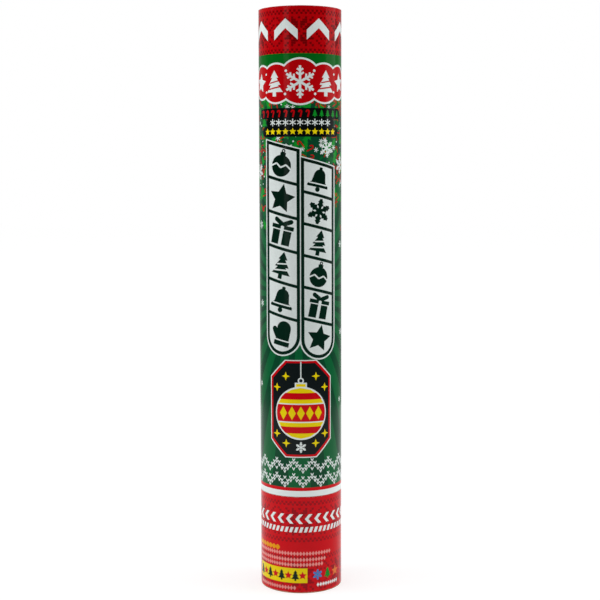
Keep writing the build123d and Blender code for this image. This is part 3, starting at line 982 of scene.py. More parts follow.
def close_poles(piece):
    """Fills the open rings of a turned piece and points its faces outwards."""
    activate(piece)
    bpy.ops.object.mode_set(mode="EDIT")
    bpy.ops.mesh.select_all(action="DESELECT")
    bpy.ops.mesh.select_mode(type="EDGE")
    bpy.ops.mesh.select_non_manifold(extend=False)
    bpy.ops.mesh.fill_holes(sides=0)
    bpy.ops.mesh.select_all(action="SELECT")
    bpy.ops.mesh.normals_make_consistent(inside=False)
    bpy.ops.object.mode_set(mode="OBJECT")


def smooth(piece, angle=32):
    """Smooth shading with sharp corners kept."""
    activate(piece)
    bpy.ops.object.shade_smooth_by_angle(angle=math.radians(angle))


def round_corners(piece, width, angle=40):
    """Rounds a piece's corners."""
    activate(piece)
    limit = math.radians(angle)
    apply_modifier(piece, "BEVEL", width=width, segments=2, limit_method="ANGLE", angle_limit=limit)


def dress(piece, material):
    """Gives a piece its one material."""
    piece.data.materials.clear()
    piece.data.materials.append(material)


def hand_over(piece, body, slot, *nodes):
    """Lets a piece ride on its body in place of the CAD nodes that it stands for."""
    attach(piece, body)
    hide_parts(*nodes)


# Materials

NOISE_RANGE = (0.3, 0.7)
PLY_PITCH = 34.0
SCUFFED_PAPER = (0.72, 0.7, 0.66)
BARE_PAPERS = ((0.6, 0.58, 0.54), (0.78, 0.77, 0.74))
SCUFFED_FOIL = (0.62, 0.62, 0.6)


class Nodes:
    """A node tree under construction, with short calls for the nodes that it holds most of"""

    def __init__(self, tree):
        self.tree = tree

    def feed(self, socket, value):
        """Links or sets one socket."""
        if isinstance(value, bpy.types.NodeSocket):
            self.tree.links.new(value, socket)
        elif value is not None:
            socket.default_value = value

    def node(self, kind, *links, **settings):
        """Adds a node, with links or values for its first inputs."""
        node = self.tree.nodes.new("ShaderNode" + kind)
        for name, value in settings.items():
            setattr(node, name, value)
        for socket, value in zip(node.inputs, links):
            self.feed(socket, value)
        return node

    def sums(self, operation, first, second=0):
        """Arithmetic on one or two values."""
        return self.node("Math", first, second, operation=operation).outputs[0]

    def spread(self, value, start, end, least=0.0, most=1.0):
        """A value's range mapped on another."""
        return self.node("MapRange", value, start, end, least, most).outputs[0]

    def seen(self):
        """A value of 1 for rays from the camera, or by gloss or glass, and 0 for the rest."""
        path = self.node("LightPath").outputs
        either = self.sums("MAXIMUM", path["Is Camera Ray"], path["Is Glossy Ray"])
        return self.sums("MAXIMUM", either, path["Is Transmission Ray"])


class Finish(Nodes):
    """A material under construction"""

    def __init__(self, name):
        self.material = bpy.data.materials.new(name)
        self.material.use_nodes = True
        super().__init__(self.material.node_tree)
        self.shader = self.tree.nodes["Principled BSDF"]
        self.place = self.node("TexCoord").outputs["Object"]

    def set(self, **values):
        """Sets or links the shader's own sockets."""
        for name, value in values.items():
            self.feed(self.shader.inputs[name.replace("_", " ")], value)
        return self

    def axes(self, place=None):
        """The three coordinates of a place."""
        return self.node("SeparateXYZ", place or self.place).outputs

    def stretched(self, *scale):
        """Object coordinates stretched along the axes."""
        return self.node("Mapping", self.place, None, None, scale).outputs[0]

    def grain(self, scale, detail=2.0, place=None, roughness=0.5):
        """Noise between 0 and 1."""
        return self.node("TexNoise", place or self.place, None, scale, detail, roughness).outputs["Fac"]

    def mixed(self, share, first, second):
        """A blend of two colours."""
        node = self.node("Mix", share, data_type="RGBA")
        self.feed(node.inputs[6], opaque(first))
        self.feed(node.inputs[7], opaque(second))
        return node.outputs[2]

    def mottled(self, share, colour, dark, light):
        """A colour that varies between a darker and a lighter share of itself."""
        return self.mixed(share, shaded(colour, dark), shaded(colour, light))

    def bumps(self, height, strength, depth):
        """Raises the surface by a height map, over a depth in millimetres, and hands out the material."""
        node = self.node("Bump", strength, depth * MM)
        self.feed(node.inputs["Height"], height)
        return self.set(Normal=node.outputs[0]).material


def opaque(colour):
    """A colour with its alpha, or a socket as it is."""
    return colour if isinstance(colour, bpy.types.NodeSocket) else (*colour[:3], 1.0)


def shaded(colour, share):
    """A colour made darker or lighter by a share."""
    return tuple(min(1.0, channel * share) for channel in colour)


def made_once(make):
    """Lets a finish be made once, and found by its name after that."""
    def find(name, *facts):
        return bpy.data.materials.get(name) or make(name, *facts)
    return find


@made_once
def printed_ink(name, ink, colours):
    """Offset ink on coated paper under a film: fine mottle, slow drift, scuffs at the cut edges, and
    painted shade that darkens the ink towards the muzzle.
    """
    colour = getattr(colours, ink)
    finish = Finish(name)
    drift = finish.grain(38)
    ground = finish.mottled(finish.spread(finish.grain(1700), *NOISE_RANGE), colour, 0.94, 1.05)
    # Painted shade: between the listed heights the ink blends into its lighter low tone, standing in for
    # light that falls off towards the top
    if ink in SHADE_FADES:
        painted_shade = finish.spread(finish.axes()[2], *(limit * MM for limit in SHADE_FADES[ink]))
        ground = finish.mixed(painted_shade, ground, getattr(colours, "low_" + ink))
    ground = finish.mixed(finish.spread(drift, *NOISE_RANGE, 0, 0.03), ground, shaded(colour, 0.2))
    worn = finish.node("Attribute", attribute_name="wear").outputs["Fac"]
    scuff = finish.sums("MULTIPLY", worn, finish.spread(finish.grain(900, 4.0), 0.48, 0.62))
    ground = finish.mixed(finish.sums("MULTIPLY", scuff, 0.4), ground, SCUFFED_PAPER)
    finish.set(Base_Color=ground, Roughness=finish.spread(drift, *NOISE_RANGE, 0.1, 0.15), IOR=1.2)
    return finish.bumps(finish.grain(2600, 3.0), 0.05, 0.02)


@made_once
def bare_paper(name):
    """The uncoated back and the cut edge of the label."""
    finish = Finish(name)
    fibres = finish.grain(1200, 5.0, finish.stretched(1, 1, 0.3))
    finish.set(Base_Color=finish.mixed(fibres, *BARE_PAPERS), Roughness=0.85)
    return finish.bumps(fibres, 0.2, 0.03)


@made_once
def wound_board(name, board):
    """Spiral-wound kraft board: fibres along the wind, ply seams in a helix, darker specks."""
    finish = Finish(name)
    across, along, up = finish.axes()
    turn = finish.sums("MULTIPLY", finish.sums("ARCTAN2", along, across), 0.5 / math.pi)
    helix = finish.sums("ADD", turn, finish.sums("MULTIPLY", up, 1 / (PLY_PITCH * MM)))
    seam = finish.sums("ABSOLUTE", finish.sums("SUBTRACT", finish.sums("FRACT", helix), 0.5))
    line = finish.spread(seam, 0.47, 0.5)
    fibres = finish.grain(500, 6.0, finish.stretched(1, 1, 0.25), 0.62)
    specks = finish.spread(finish.grain(1500), 0.66, 0.74)
    ground = finish.mottled(fibres, board, 0.78, 1.15)
    ground = finish.mixed(finish.sums("MULTIPLY", specks, 0.5), ground, shaded(board, 0.45))
    ground = finish.mixed(finish.sums("MULTIPLY", line, 0.55), ground, shaded(board, 0.5))
    finish.set(Base_Color=ground, Roughness=0.86)
    return finish.bumps(finish.sums("SUBTRACT", fibres, line), 0.35, 0.08)


@made_once
def moulded_plastic(name, colour, roughness):
    """Injection-moulded plastic: fine spark texture and a slow sheen drift."""
    finish = Finish(name)
    spark = finish.grain(2400, 3.0)
    flow = finish.grain(70, 2.0, finish.stretched(1, 1, 0.4))
    finish.set(Base_Color=finish.mottled(flow, colour, 0.88, 1.12),
               Roughness=finish.spread(spark, *NOISE_RANGE, roughness, roughness + 0.14))
    return finish.bumps(spark, 0.12, 0.04)


@made_once
def soft_rubber(name, rubber):
    """Moulded black rubber: bloom, dust and a dull skin."""
    finish = Finish(name)
    bloom = finish.grain(160, 4.0)
    finish.set(Base_Color=finish.mottled(finish.spread(bloom, 0.4, 0.8), rubber, 1, 1.9),
               Roughness=finish.spread(bloom, *NOISE_RANGE, 0.6, 0.8), Specular_IOR_Level=0.35)
    return finish.bumps(finish.grain(1800), 0.1, 0.03)


@made_once
def drawn_metal(name, colour, stretch, roughness):
    """Bare metal with lines along the way it was drawn or ground."""
    finish = Finish(name)
    lines = finish.grain(700, 4.0, finish.stretched(*stretch), 0.6)
    stain = finish.spread(finish.grain(60), 0.4, 0.8, 0, 0.3)
    ground = finish.mixed(stain, finish.mottled(lines, colour, 0.86, 1.04), shaded(colour, 0.8))
    finish.set(Base_Color=ground, Metallic=1.0,
               Roughness=finish.spread(lines, *NOISE_RANGE, roughness, roughness + 0.14))
    return finish.bumps(lines, 0.06, 0.02)


@made_once
def pressed_fibre(name, grey):
    """Grey pressed fibre with dark flecks."""
    finish = Finish(name)
    felt = finish.grain(900, 6.0, None, 0.65)
    flecks = finish.sums("MULTIPLY", finish.spread(finish.grain(700), 0.68, 0.74), 0.6)
    ground = finish.mixed(flecks, finish.mottled(felt, grey, 0.7, 1.25), shaded(grey, 0.32))
    finish.set(Base_Color=ground, Roughness=0.92)
    return finish.bumps(felt, 0.5, 0.15)


@made_once
def tissue(name, colour, stripe=None):
    """Die-cut coloured paper: soft fibres, and slanted stripes where the leaf has them on its map."""
    finish = Finish(name)
    fibres = finish.grain(1500, 5.0, None, 0.6)
    ground = finish.mottled(fibres, colour, 0.8, 1.12)
    if stripe:
        across, up, _ = finish.axes(finish.node("UVMap", uv_map="UVMap").outputs[0])
        slant = finish.sums("ADD", finish.sums("MULTIPLY", across, 3.2), finish.sums("MULTIPLY", up, 4.6))
        band = finish.sums("GREATER_THAN", finish.sums("FRACT", slant), 0.55)
        ground = finish.mixed(band, ground, stripe)
    finish.set(Base_Color=ground, Roughness=0.78, Specular_IOR_Level=0.3)
    return finish.bumps(fibres, 0.15, 0.03)


@made_once
def foil_paper(name, foil):
    """Foil-faced paper: crumpled facets, satin glint and scuffs down to paper."""
    finish = Finish(name)
    creases = finish.node("TexVoronoi", finish.place, None, 190, feature="DISTANCE_TO_EDGE")
    fold = finish.spread(creases.outputs["Distance"], 0.0, 0.12)
    scuffs = finish.spread(finish.grain(420, 5.0), 0.6, 0.72)
    finish.set(Base_Color=finish.mixed(finish.sums("MULTIPLY", scuffs, 0.5), foil, SCUFFED_FOIL),
               Metallic=finish.spread(scuffs, 0, 1, 0.85, 0.3),
               Roughness=finish.spread(fold, 0, 1, 0.46, 0.3))
    return finish.bumps(fold, 0.35, 0.08)


def black_moulding(colours):
    """The plastic of the base cap, the collar and the bulkhead."""
    return moulded_plastic("black_moulded_plastic", colours.black_plastic, 0.36)


# Operators

class PopperOperator:
    """What all of the popper's operators share"""

    bl_options = {"REGISTER", "UNDO"}

    def execute(self, context):
        """Builds with the scene's sizes and colours."""
        self.build(context.scene.popper_sizes, context.scene.popper_colours)
        return {"FINISHED"}


class POPPER_OT_barrel_label(PopperOperator, bpy.types.Operator):
    """Rolls the printed barrel label"""

    bl_idname = "popper.barrel_label"
    bl_label = "Barrel label"

    def build(self, sizes, colours):
        piece = rolled_label("barrel_label", barrel_art(sizes), sizes, colours)
        hand_over(piece, "barrel", "barrel_print", "barrel_wrap")


class POPPER_OT_handle_label(PopperOperator, bpy.types.Operator):
    """Rolls the printed handle label"""

    bl_idname = "popper.handle_label"
    bl_label = "Handle label"

    def build(self, sizes, colours):
        piece = rolled_label("handle_label", handle_art(sizes), sizes, colours)
        hand_over(piece, "handle", "handle_print", "handle_wrap")


TUBE_WALL = 1.8 * MM
TUBE_PLIES = 4
TUBE_SIDES = 160
GROOVE_SHARE = 0.125


def wound_tube(name, node, sizes, colours):
    """A tube wound of four plies, with a shallow groove between the plies on each rim."""
    outer = reach(node)
    inner = outer - TUBE_WALL
    ply = TUBE_WALL / TUBE_PLIES
    half = ply * GROOVE_SHARE
    grooves = []
    for i in range(1, TUBE_PLIES):
        middle = outer - i * ply
        grooves += [(middle + half, 0), (middle, sizes.ply), (middle - half, 0)]
    foot = low(node)
    top = high(node)
    rings = [(outer, foot), (outer, top)] + [(radius, top - depth) for radius, depth in grooves]
    rings += [(inner, top), (inner, foot)] + [(radius, foot + depth) for radius, depth in reversed(grooves)]
    piece = turned(name, rings, TUBE_SIDES)
    dress(piece, wound_board("wound_kraft_board", colours.board))
    smooth(piece)
    return piece


class POPPER_OT_tubes(PopperOperator, bpy.types.Operator):
    """Winds the barrel and handle tubes"""

    bl_idname = "popper.tubes"
    bl_label = "Wound tubes"

    def build(self, sizes, colours):
        for body in ("barrel", "handle"):
            piece = wound_tube(body + "_board_tube", body + "_tube", sizes, colours)
            hand_over(piece, body, "wound_board", body + "_tube")


# Base cap sizes, in millimetres above its foot or from the axis

CAP_PORT = 6.0
CAP_LIP = 7.5
CAP_LIP_TOP = 3.8
CAP_FLOOR = 2.0
CAP_SKIRT_INNER = 20.05
CAP_SKIRT_OUTER = 21.65
CAP_SKIRT_TOP = 12.0
CAP_RIB = 1.6
CAP_RIB_TOP = 5.5
CAP_RIBS = 6
CAP_RIB_OVERLAP = 0.9
CAP_RIB_SINK = 0.5
CAP_CORNER = 0.25
CAP_SIDES = 128
CAP_PORT_CHAMFER = 0.6
CAP_SKIRT_CHAMFER = (0.4, 1.2)
# The underside: a groove, inwards from the flange's edge, and a dish, outwards from the lip
CAP_GROOVE = ((1.6, 0), (2.0, 0.45), (3.4, 0.45), (3.8, 0))
CAP_DISH = ((4.2, 0), (3.6, 0.6), (0.6, 0.6), (0, 0))


def cap_rib():
    """One straight rib of the base cap, along +X."""
    bpy.ops.object.select_all(action="DESELECT")
    long = CAP_SKIRT_INNER - CAP_LIP + CAP_RIB_OVERLAP
    tall = CAP_RIB_TOP - CAP_FLOOR + CAP_RIB_SINK
    middle = ((CAP_SKIRT_INNER + CAP_LIP) / 2, 0, CAP_FLOOR + tall / 2 - CAP_RIB_SINK)
    bpy.ops.mesh.primitive_cube_add(size=1, location=[place * MM for place in middle])
    rib = bpy.context.object
    rib.location.z += low("base_cap")
    rib.scale = [length * MM for length in (long, CAP_RIB, tall)]
    bpy.ops.object.transform_apply(location=True, rotation=True, scale=True)
    round_corners(rib, CAP_CORNER * MM)
    return rib


def base_cap(colours):
    """The moulded plug in the handle's foot: flange, skirt, fill port, ribs and rings on its underside."""
    foot = low("base_cap")
    flange = reach("base_cap") / MM
    slope, drop = CAP_SKIRT_CHAMFER
    profile = [(CAP_PORT, CAP_PORT_CHAMFER), (CAP_PORT, CAP_LIP_TOP), (CAP_LIP, CAP_LIP_TOP)]
    profile += [(CAP_LIP, CAP_FLOOR), (CAP_SKIRT_INNER, CAP_FLOOR), (CAP_SKIRT_INNER, CAP_SKIRT_TOP)]
    profile += [(CAP_SKIRT_OUTER - slope, CAP_SKIRT_TOP), (CAP_SKIRT_OUTER, CAP_SKIRT_TOP - drop)]
    profile += [(CAP_SKIRT_OUTER, CAP_FLOOR), (flange, CAP_FLOOR), (flange, 0)]
    profile += [(flange - inset, up) for inset, up in CAP_GROOVE]
    profile += [(CAP_LIP + outset, up) for outset, up in CAP_DISH]
    profile += [(CAP_PORT + CAP_PORT_CHAMFER, 0)]
    piece = turned("moulded_base_cap", [(radius * MM, foot + up * MM) for radius, up in profile], CAP_SIDES)
    round_corners(piece, CAP_CORNER * MM, 30)
    first = cap_rib()
    for i in range(CAP_RIBS):
        rib = bpy.data.objects.new("rib", first.data.copy())
        rib.data.transform(Matrix.Rotation(2 * math.pi * i / CAP_RIBS, 4, "Z"))
        bpy.context.collection.objects.link(rib)
        activate(piece)
        apply_modifier(piece, "BOOLEAN", object=rib, operation="UNION", solver="EXACT")
        bpy.data.objects.remove(rib)
    bpy.data.objects.remove(first)
    dress(piece, black_moulding(colours))
    smooth(piece)
    return piece


class POPPER_OT_base_cap(PopperOperator, bpy.types.Operator):
    """Moulds the base cap"""

    bl_idname = "popper.base_cap"
    bl_label = "Base cap"

    def build(self, sizes, colours):
        hand_over(base_cap(colours), "handle", "black_plastic", "base_cap")


# Muzzle seal sizes, in millimetres, with the shoulder's two rings inwards and down from the outer corner

SEAL_SIDES = 256
SEAL_SHEET = 0.5
SEAL_SHOULDER = ((0.35, 0.05), (0.08, 0.3))
SEAL_INNER_CORNER = 0.3
SEAL_DISC_RINGS = 16
SEAL_POLE_SHARE = 0.3
SEAL_CUFF_RINGS = 5
SEAL_SCORE = 0.16
SEAL_SCORE_SHARE = 0.94
PLEATS = 64
PLEAT_DRIFT = 3
PLEAT_DRIFTS = 5
PLEAT_START = 13
PLEAT_REACH = 9
PLEAT_TUCK = 0.14
RIPPLE_SCALE = 160
RIPPLE_SHARE = 0.55


def pleat_wave(turn):
    """How deep a place round the seal lies in its pleat, from 0 to 1."""
    return 0.5 - 0.5 * math.cos(PLEATS * turn + PLEAT_DRIFT * math.sin(PLEAT_DRIFTS * turn))


def pleat(spot, radius, turn, sizes):
    """How far a point of the seal's face sinks, by the pleats at its edge and the ripples all over it."""
    edge = min(max((radius / MM - PLEAT_START) / PLEAT_REACH, 0), 1) ** 2
    ripple = 0.5 + 0.5 * noise.noise(spot * RIPPLE_SCALE)
    return sizes.crinkle * (edge * pleat_wave(turn) + RIPPLE_SHARE * ripple)


def muzzle_seal(sizes, colours):
    """A foil-faced paper cup: scored disc, pleated shoulder and a cuff glued in the muzzle."""
    outer = reach("muzzle_seal")
    top = high("muzzle_seal")
    foot = low("muzzle_seal")
    sheet = SEAL_SHEET * MM
    radii = [outer * (1 - i / (SEAL_DISC_RINGS + SEAL_POLE_SHARE)) for i in range(1, SEAL_DISC_RINGS + 1)]
    cuff = [foot + (top - foot) * i / SEAL_CUFF_RINGS for i in range(SEAL_CUFF_RINGS)]
    rings = [(radius, top) for radius in reversed(radii)]
    rings += [(outer - inset * MM, top - drop * MM) for inset, drop in SEAL_SHOULDER]
    rings += [(outer, z) for z in reversed(cuff)] + [(outer - sheet, z) for z in cuff]
    rings += [(outer - sheet - SEAL_INNER_CORNER * MM, top - sheet)]
    rings += [(radius - sheet / 2, top - sheet) for radius in radii]
    piece = turned("foil_muzzle_seal", rings, SEAL_SIDES, closed=False)
    for vertex in piece.data.vertices:
        spot = vertex.co.copy()
        radius = math.hypot(spot.x, spot.y)
        turn = math.atan2(spot.y, spot.x)
        if spot.z > top - 2 * sheet:
            vertex.co.z -= pleat(spot, radius, turn, sizes)
            on_score = abs(turn % (math.pi / 2) - math.pi / 4) < math.pi / SEAL_SIDES
            if on_score and spot.z > top - sheet / 2 and radius < outer * SEAL_SCORE_SHARE:
                vertex.co.z -= SEAL_SCORE * MM
        else:
            vertex.co.xy *= (radius - PLEAT_TUCK * MM * pleat_wave(turn)) / radius
    close_poles(piece)
    dress(piece, foil_paper("foil_faced_paper", colours.foil))
    smooth(piece, 60)
    return piece


class POPPER_OT_muzzle_seal(PopperOperator, bpy.types.Operator):
    """Cuts and pleats the muzzle seal"""

    bl_idname = "popper.muzzle_seal"
    bl_label = "Muzzle seal"

    def build(self, sizes, colours):
        hand_over(muzzle_seal(sizes, colours), "seal", "silver_paper", "muzzle_seal")


# Wad sizes, in millimetres

WAD_FUZZ = {"board": 0.1, "fibre": 0.35}
WAD_CORNER = 0.5
WAD_CORNER_SHARE = 0.3
WAD_SIDE_STEP = 1.2
WAD_RING_SHARES = (0.03, 0.2, 0.36, 0.5, 0.62, 0.73, 0.82, 0.9, 0.96)
WAD_GRAIN = 260


def wad_disc(name, node, fuzz, colours):
    """A pressed disc with soft edges, its fibres standing in from the CAD outline."""
    outer = reach(node)
    top = high(node)
    foot = low(node)
    corner = WAD_CORNER * MM
    cut = corner * WAD_CORNER_SHARE
    across = [outer * share for share in WAD_RING_SHARES]
    steps = max(2, round((top - foot) / (WAD_SIDE_STEP * MM)))
    sides = [top - corner - (top - foot - 2 * corner) * i / steps for i in range(steps + 1)]
    rings = [(radius, top) for radius in across] + [(outer - cut, top - cut)]
    rings += [(outer, z) for z in sides] + [(outer - cut, foot + cut)]
    rings += [(radius, foot) for radius in reversed(across)]
    piece = turned(name, rings, TUBE_SIDES, closed=False)
    middle = Vector((0, 0, (top + foot) / 2))
    for vertex in piece.data.vertices:
        spot = vertex.co.copy()
        dent = fuzz * MM * (0.5 + 0.5 * noise.turbulence(spot * WAD_GRAIN, 3, False))
        vertex.co += (middle - spot).normalized() * dent
    close_poles(piece)
    dress(piece, pressed_fibre("pressed_grey_fibre", colours.grey_board))
    smooth(piece, 50)
    return piece


class POPPER_OT_wad(PopperOperator, bpy.types.Operator):
    """Presses the wad's two discs"""

    bl_idname = "popper.wad"
    bl_label = "Wad"

    def build(self, sizes, colours):
        for layer, fuzz in WAD_FUZZ.items():
            piece = wad_disc("pressed_wad_" + layer, "wad_" + layer, fuzz, colours)
            hand_over(piece, "wad", "grey_board", "wad_" + layer)


# Confetti stacks, in millimetres: three stand round the axis in each layer, and each layer is turned on

STACK_LAYERS = 32
STACK_HEIGHT = 6.0
STACK_OFFSET = 12.0
LEAF_RADIUS = 10.0
LAYER_TURN = 25
STACKS_ROUND = 3
LEAF_FAN = 7
LEAF_LEAN = 1.2
FLAKE_SHARES = ((0.55, -0.1), (0.8, -0.32), (0.98, 0.0), (0.8, 0.32), (0.55, 0.1))
FLAKE_NOTCH = 0.24


def cut_flake():
    """A snowflake leaf with few points: six barbed arms."""
    arm = moved([(FLAKE_NOTCH, 0)], (0, 0), 1, -ARM_TURN / 2) + list(FLAKE_SHARES)
    return [point for i in range(FLAKE_ARMS) for point in moved(arm, (0, 0), 1, ARM_TURN * i)]


def fitted(outline):
    """An outline scaled to reach one unit from its centre."""
    far = max(math.hypot(*point) for point in outline)
    return [(x / far, y / far) for x, y in outline]


def cut_leaf(outline, thickness):
    """One flat paper leaf about the axis, with its outline on its map."""
    bpy.ops.object.select_all(action="DESELECT")
    bpy.ops.mesh.primitive_circle_add(vertices=len(outline), radius=LEAF_RADIUS * MM, fill_type="NGON")
    leaf = bpy.context.object
    for vertex, (x, y) in zip(leaf.data.vertices, outline):
        vertex.co = (x * LEAF_RADIUS * MM, y * LEAF_RADIUS * MM, 0)
    layer = leaf.data.uv_layers.active
    for loop in leaf.data.loops:
        x, y = outline[loop.vertex_index]
        layer.data[loop.index].uv = (0.5 + x / 2, 0.5 + y / 2)
    thicken(leaf, thickness)
    return leaf


def confetti(name, node, place, outline, material, sizes):
    """All the stacks of one shape: leaves lie a little turned and tilted on each other."""
    draw = random.Random(place + 1)
    leaf = cut_leaf(outline, sizes.leaf)
    foot = low(node)
    pitch = (high(node) - foot - STACK_HEIGHT * MM) / (STACK_LAYERS - 1)
    leaf_pitch = STACK_HEIGHT * MM / sizes.stack_leaves
    aside = Matrix.Translation((STACK_OFFSET * MM, 0, 0))
    copies = []
    for layer, i in product(range(STACK_LAYERS), range(sizes.stack_leaves)):
        turn = math.radians(LAYER_TURN * layer)
        up = foot + layer * pitch + (i + 0.5) * leaf_pitch + sizes.leaf / 2
        stack = Matrix.Rotation(turn + 2 * math.pi * place / STACKS_ROUND, 4, "Z") @ aside
        fan = Matrix.Rotation(turn + math.radians(draw.uniform(-LEAF_FAN, LEAF_FAN)), 4, "Z")
        tips = [math.radians(draw.uniform(-LEAF_LEAN, LEAF_LEAN)) for _ in range(2)]
        lean = Matrix.Rotation(tips[0], 4, "X") @ Matrix.Rotation(tips[1], 4, "Y")
        copy = bpy.data.objects.new(name, leaf.data.copy())
        copy.data.transform(Matrix.Translation((0, 0, up)) @ stack @ lean @ fan)
        bpy.context.collection.objects.link(copy)
        copies.append(copy)
    bpy.data.objects.remove(leaf)
    piece = copies[0]
    activate(piece)
    for copy in copies:
        copy.select_set(True)
    bpy.ops.object.join()
    dress(piece, material)
    return piece


class POPPER_OT_confetti(PopperOperator, bpy.types.Operator):
    """Cuts and stacks the three shapes of confetti"""

    bl_idname = "popper.confetti"
    bl_label = "Confetti"

    def build(self, sizes, colours):
        white = tissue("white_tissue", colours.white_paper)
        red = tissue("red_striped_tissue", colours.red_paper, colours.white_paper)
        green = tissue("green_tissue", colours.green_paper)
        shapes = (
            ("cane", fitted(cane()), red, "red_paper"),
            ("tree", fitted(tree()), green, "green_paper"),
            ("snowflake", cut_flake(), white, "white_paper"),
        )
        for place, (shape, outline, material, slot) in enumerate(shapes):
            node = shape + "_confetti"
            piece = confetti("cut_" + node, node, place, outline, material, sizes)
            hand_over(piece, "load", slot, node)


class POPPER_OT_finishes(PopperOperator, bpy.types.Operator):
    """Gives the inner mechanism its materials"""

    bl_idname = "popper.finishes"
    bl_label = "Mechanism finishes"

    def build(self, sizes, colours):
        black = black_moulding(colours)
        white = moulded_plastic("white_moulded_plastic", colours.white_plastic, 0.3)
        metal = drawn_metal("drawn_aluminium_shell", colours.aluminium, (1, 1, 0.02), 0.22)
        steel = drawn_metal("ground_steel", colours.steel, (0.04, 1, 1), 0.2)
        rubber = soft_rubber("moulded_rubber", colours.rubber)
        board = wound_board("wound_kraft_board", colours.board)
        finishes = {
            "coupler_sleeve": board, "lower_spacer": board, "upper_spacer": board,
            "air_cylinder": metal, "cylinder_base": metal, "cross_pin": steel,
            "fill_plug": rubber, "seat_gasket": rubber, "stopper_ring": rubber,
            "valve_seat": white, "stopper": white, "cam_collar": black, "bulkhead": black,
        }
        for node, material in finishes.items():
            dress(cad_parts[node], material)


# The stage, with lengths in metres, angles in degrees, lens sizes in millimetres and light as radiance

CAMERA_PLACE = (0.0, -0.7719, 0.2537)
CAMERA_PITCH = 5.139
CAMERA_ROLL = 0.148
CAMERA_LENS = 74.81
CAMERA_SENSOR = 36
CAMERA_SHIFT = (-0.0005, -0.015)

AMBIENT = 0.42
FLOOR_HALF = 6.0
FLOOR_WHITE = 0.82
# The floor's two levels of glow, the distances at which it has them, and its share where it is seen
FLOOR_GLOW = (1.36, 1.65)
FLOOR_GLOW_REACH = (0.7, 2.2)
FLOOR_GLOW_SHARE = 0.5

TABLE_RADIUS = 0.62
ROOM_FLOOR = 0.002
WALL_RADIUS = 2.3
WALL_HEIGHT = 3.0
WALL_SIDES = 96
WALL_GAP = 26
CLOTH_GREYS = (0.02, 0.03)
# Two glows of the wall: the angles off the back where each is dark and full, and its level
WALL_GLOWS = ((84, 66, 0.3), (52, 28, 0.14))

# A stand is a softbox's height, its distance and how high its middle is
FAR_STAND = (2.2, 1.7, 0.6)
NEAR_STAND = (0.3, 0.32, 0.5)
AIM_HEIGHT = 0.18
# Azimuth, width, stand, radiance and whether gloss shows it
SOFTBOXES = {
    "left_strip": (-38, 0.46, FAR_STAND, 1.2, True),
    "left_fill": (-78, 1.4, FAR_STAND, 1.45, False),
    "left_back_softbox": (-128, 1.7, FAR_STAND, 0.5, False),
    "right_softbox": (95, 1.2, FAR_STAND, 1.25, True),
    "right_fill": (78, 1.4, FAR_STAND, 0.85, False),
    "right_back_softbox": (137, 1.5, FAR_STAND, 0.6, False),
    "left_kicker": (-85, 0.2, NEAR_STAND, 2.3, False),
    "right_kicker": (80, 0.2, NEAR_STAND, 1.6, False),
}


def softbox(name, azimuth, wide, stand, radiance, glossy):
    """A lamp that faces the object, at an azimuth counted from the front towards the right."""
    tall, distance, height = stand
    light = bpy.data.lights.new(name, "AREA")
    light.shape = "RECTANGLE"
    light.size = wide
    light.size_y = tall
    light.energy = radiance * math.pi * wide * tall
    lamp = bpy.data.objects.new(name, light)
    bpy.context.collection.objects.link(lamp)
    turn = math.radians(azimuth)
    lamp.location = (distance * math.sin(turn), -distance * math.cos(turn), height)
    aim = Vector((0, 0, AIM_HEIGHT)) - lamp.location
    lamp.rotation_euler = aim.to_track_quat("-Z", "Y").to_euler()
    lamp.visible_glossy = glossy


def white_world():
    """White where it is seen, and a plain level where it lights."""
    world = bpy.data.worlds.new("studio")
    bpy.context.scene.world = world
    world.use_nodes = True
    nodes = Nodes(world.node_tree)
    ground = nodes.tree.nodes["Background"].inputs
    nodes.feed(ground["Color"], (1, 1, 1, 1))
    nodes.feed(ground["Strength"], nodes.spread(nodes.seen(), 0, 1, AMBIENT, 1))


def pale_floor():
    """A white floor that keeps a soft shadow, and glows more where it is far away."""
    bpy.ops.object.select_all(action="DESELECT")
    bpy.ops.mesh.primitive_plane_add(size=2 * FLOOR_HALF, location=(0, 0, 0))
    floor = bpy.context.object
    floor.name = "studio_floor"
    material = bpy.data.materials.new("studio_white")
    material.use_nodes = True
    nodes = Nodes(material.node_tree)
    nodes.tree.nodes.clear()
    matte = nodes.node("BsdfDiffuse", opaque([FLOOR_WHITE] * 3)).outputs[0]
    place = nodes.node("TexCoord").outputs["Object"]
    away = nodes.node("VectorMath", place, operation="LENGTH").outputs["Value"]
    glow = nodes.node("Emission", None, nodes.spread(away, *FLOOR_GLOW_REACH, *FLOOR_GLOW)).outputs[0]
    share = nodes.spread(nodes.seen(), 0, 1, 0, FLOOR_GLOW_SHARE)
    nodes.node("OutputMaterial", nodes.node("MixShader", share, matte, glow).outputs[0])
    dress(floor, material)


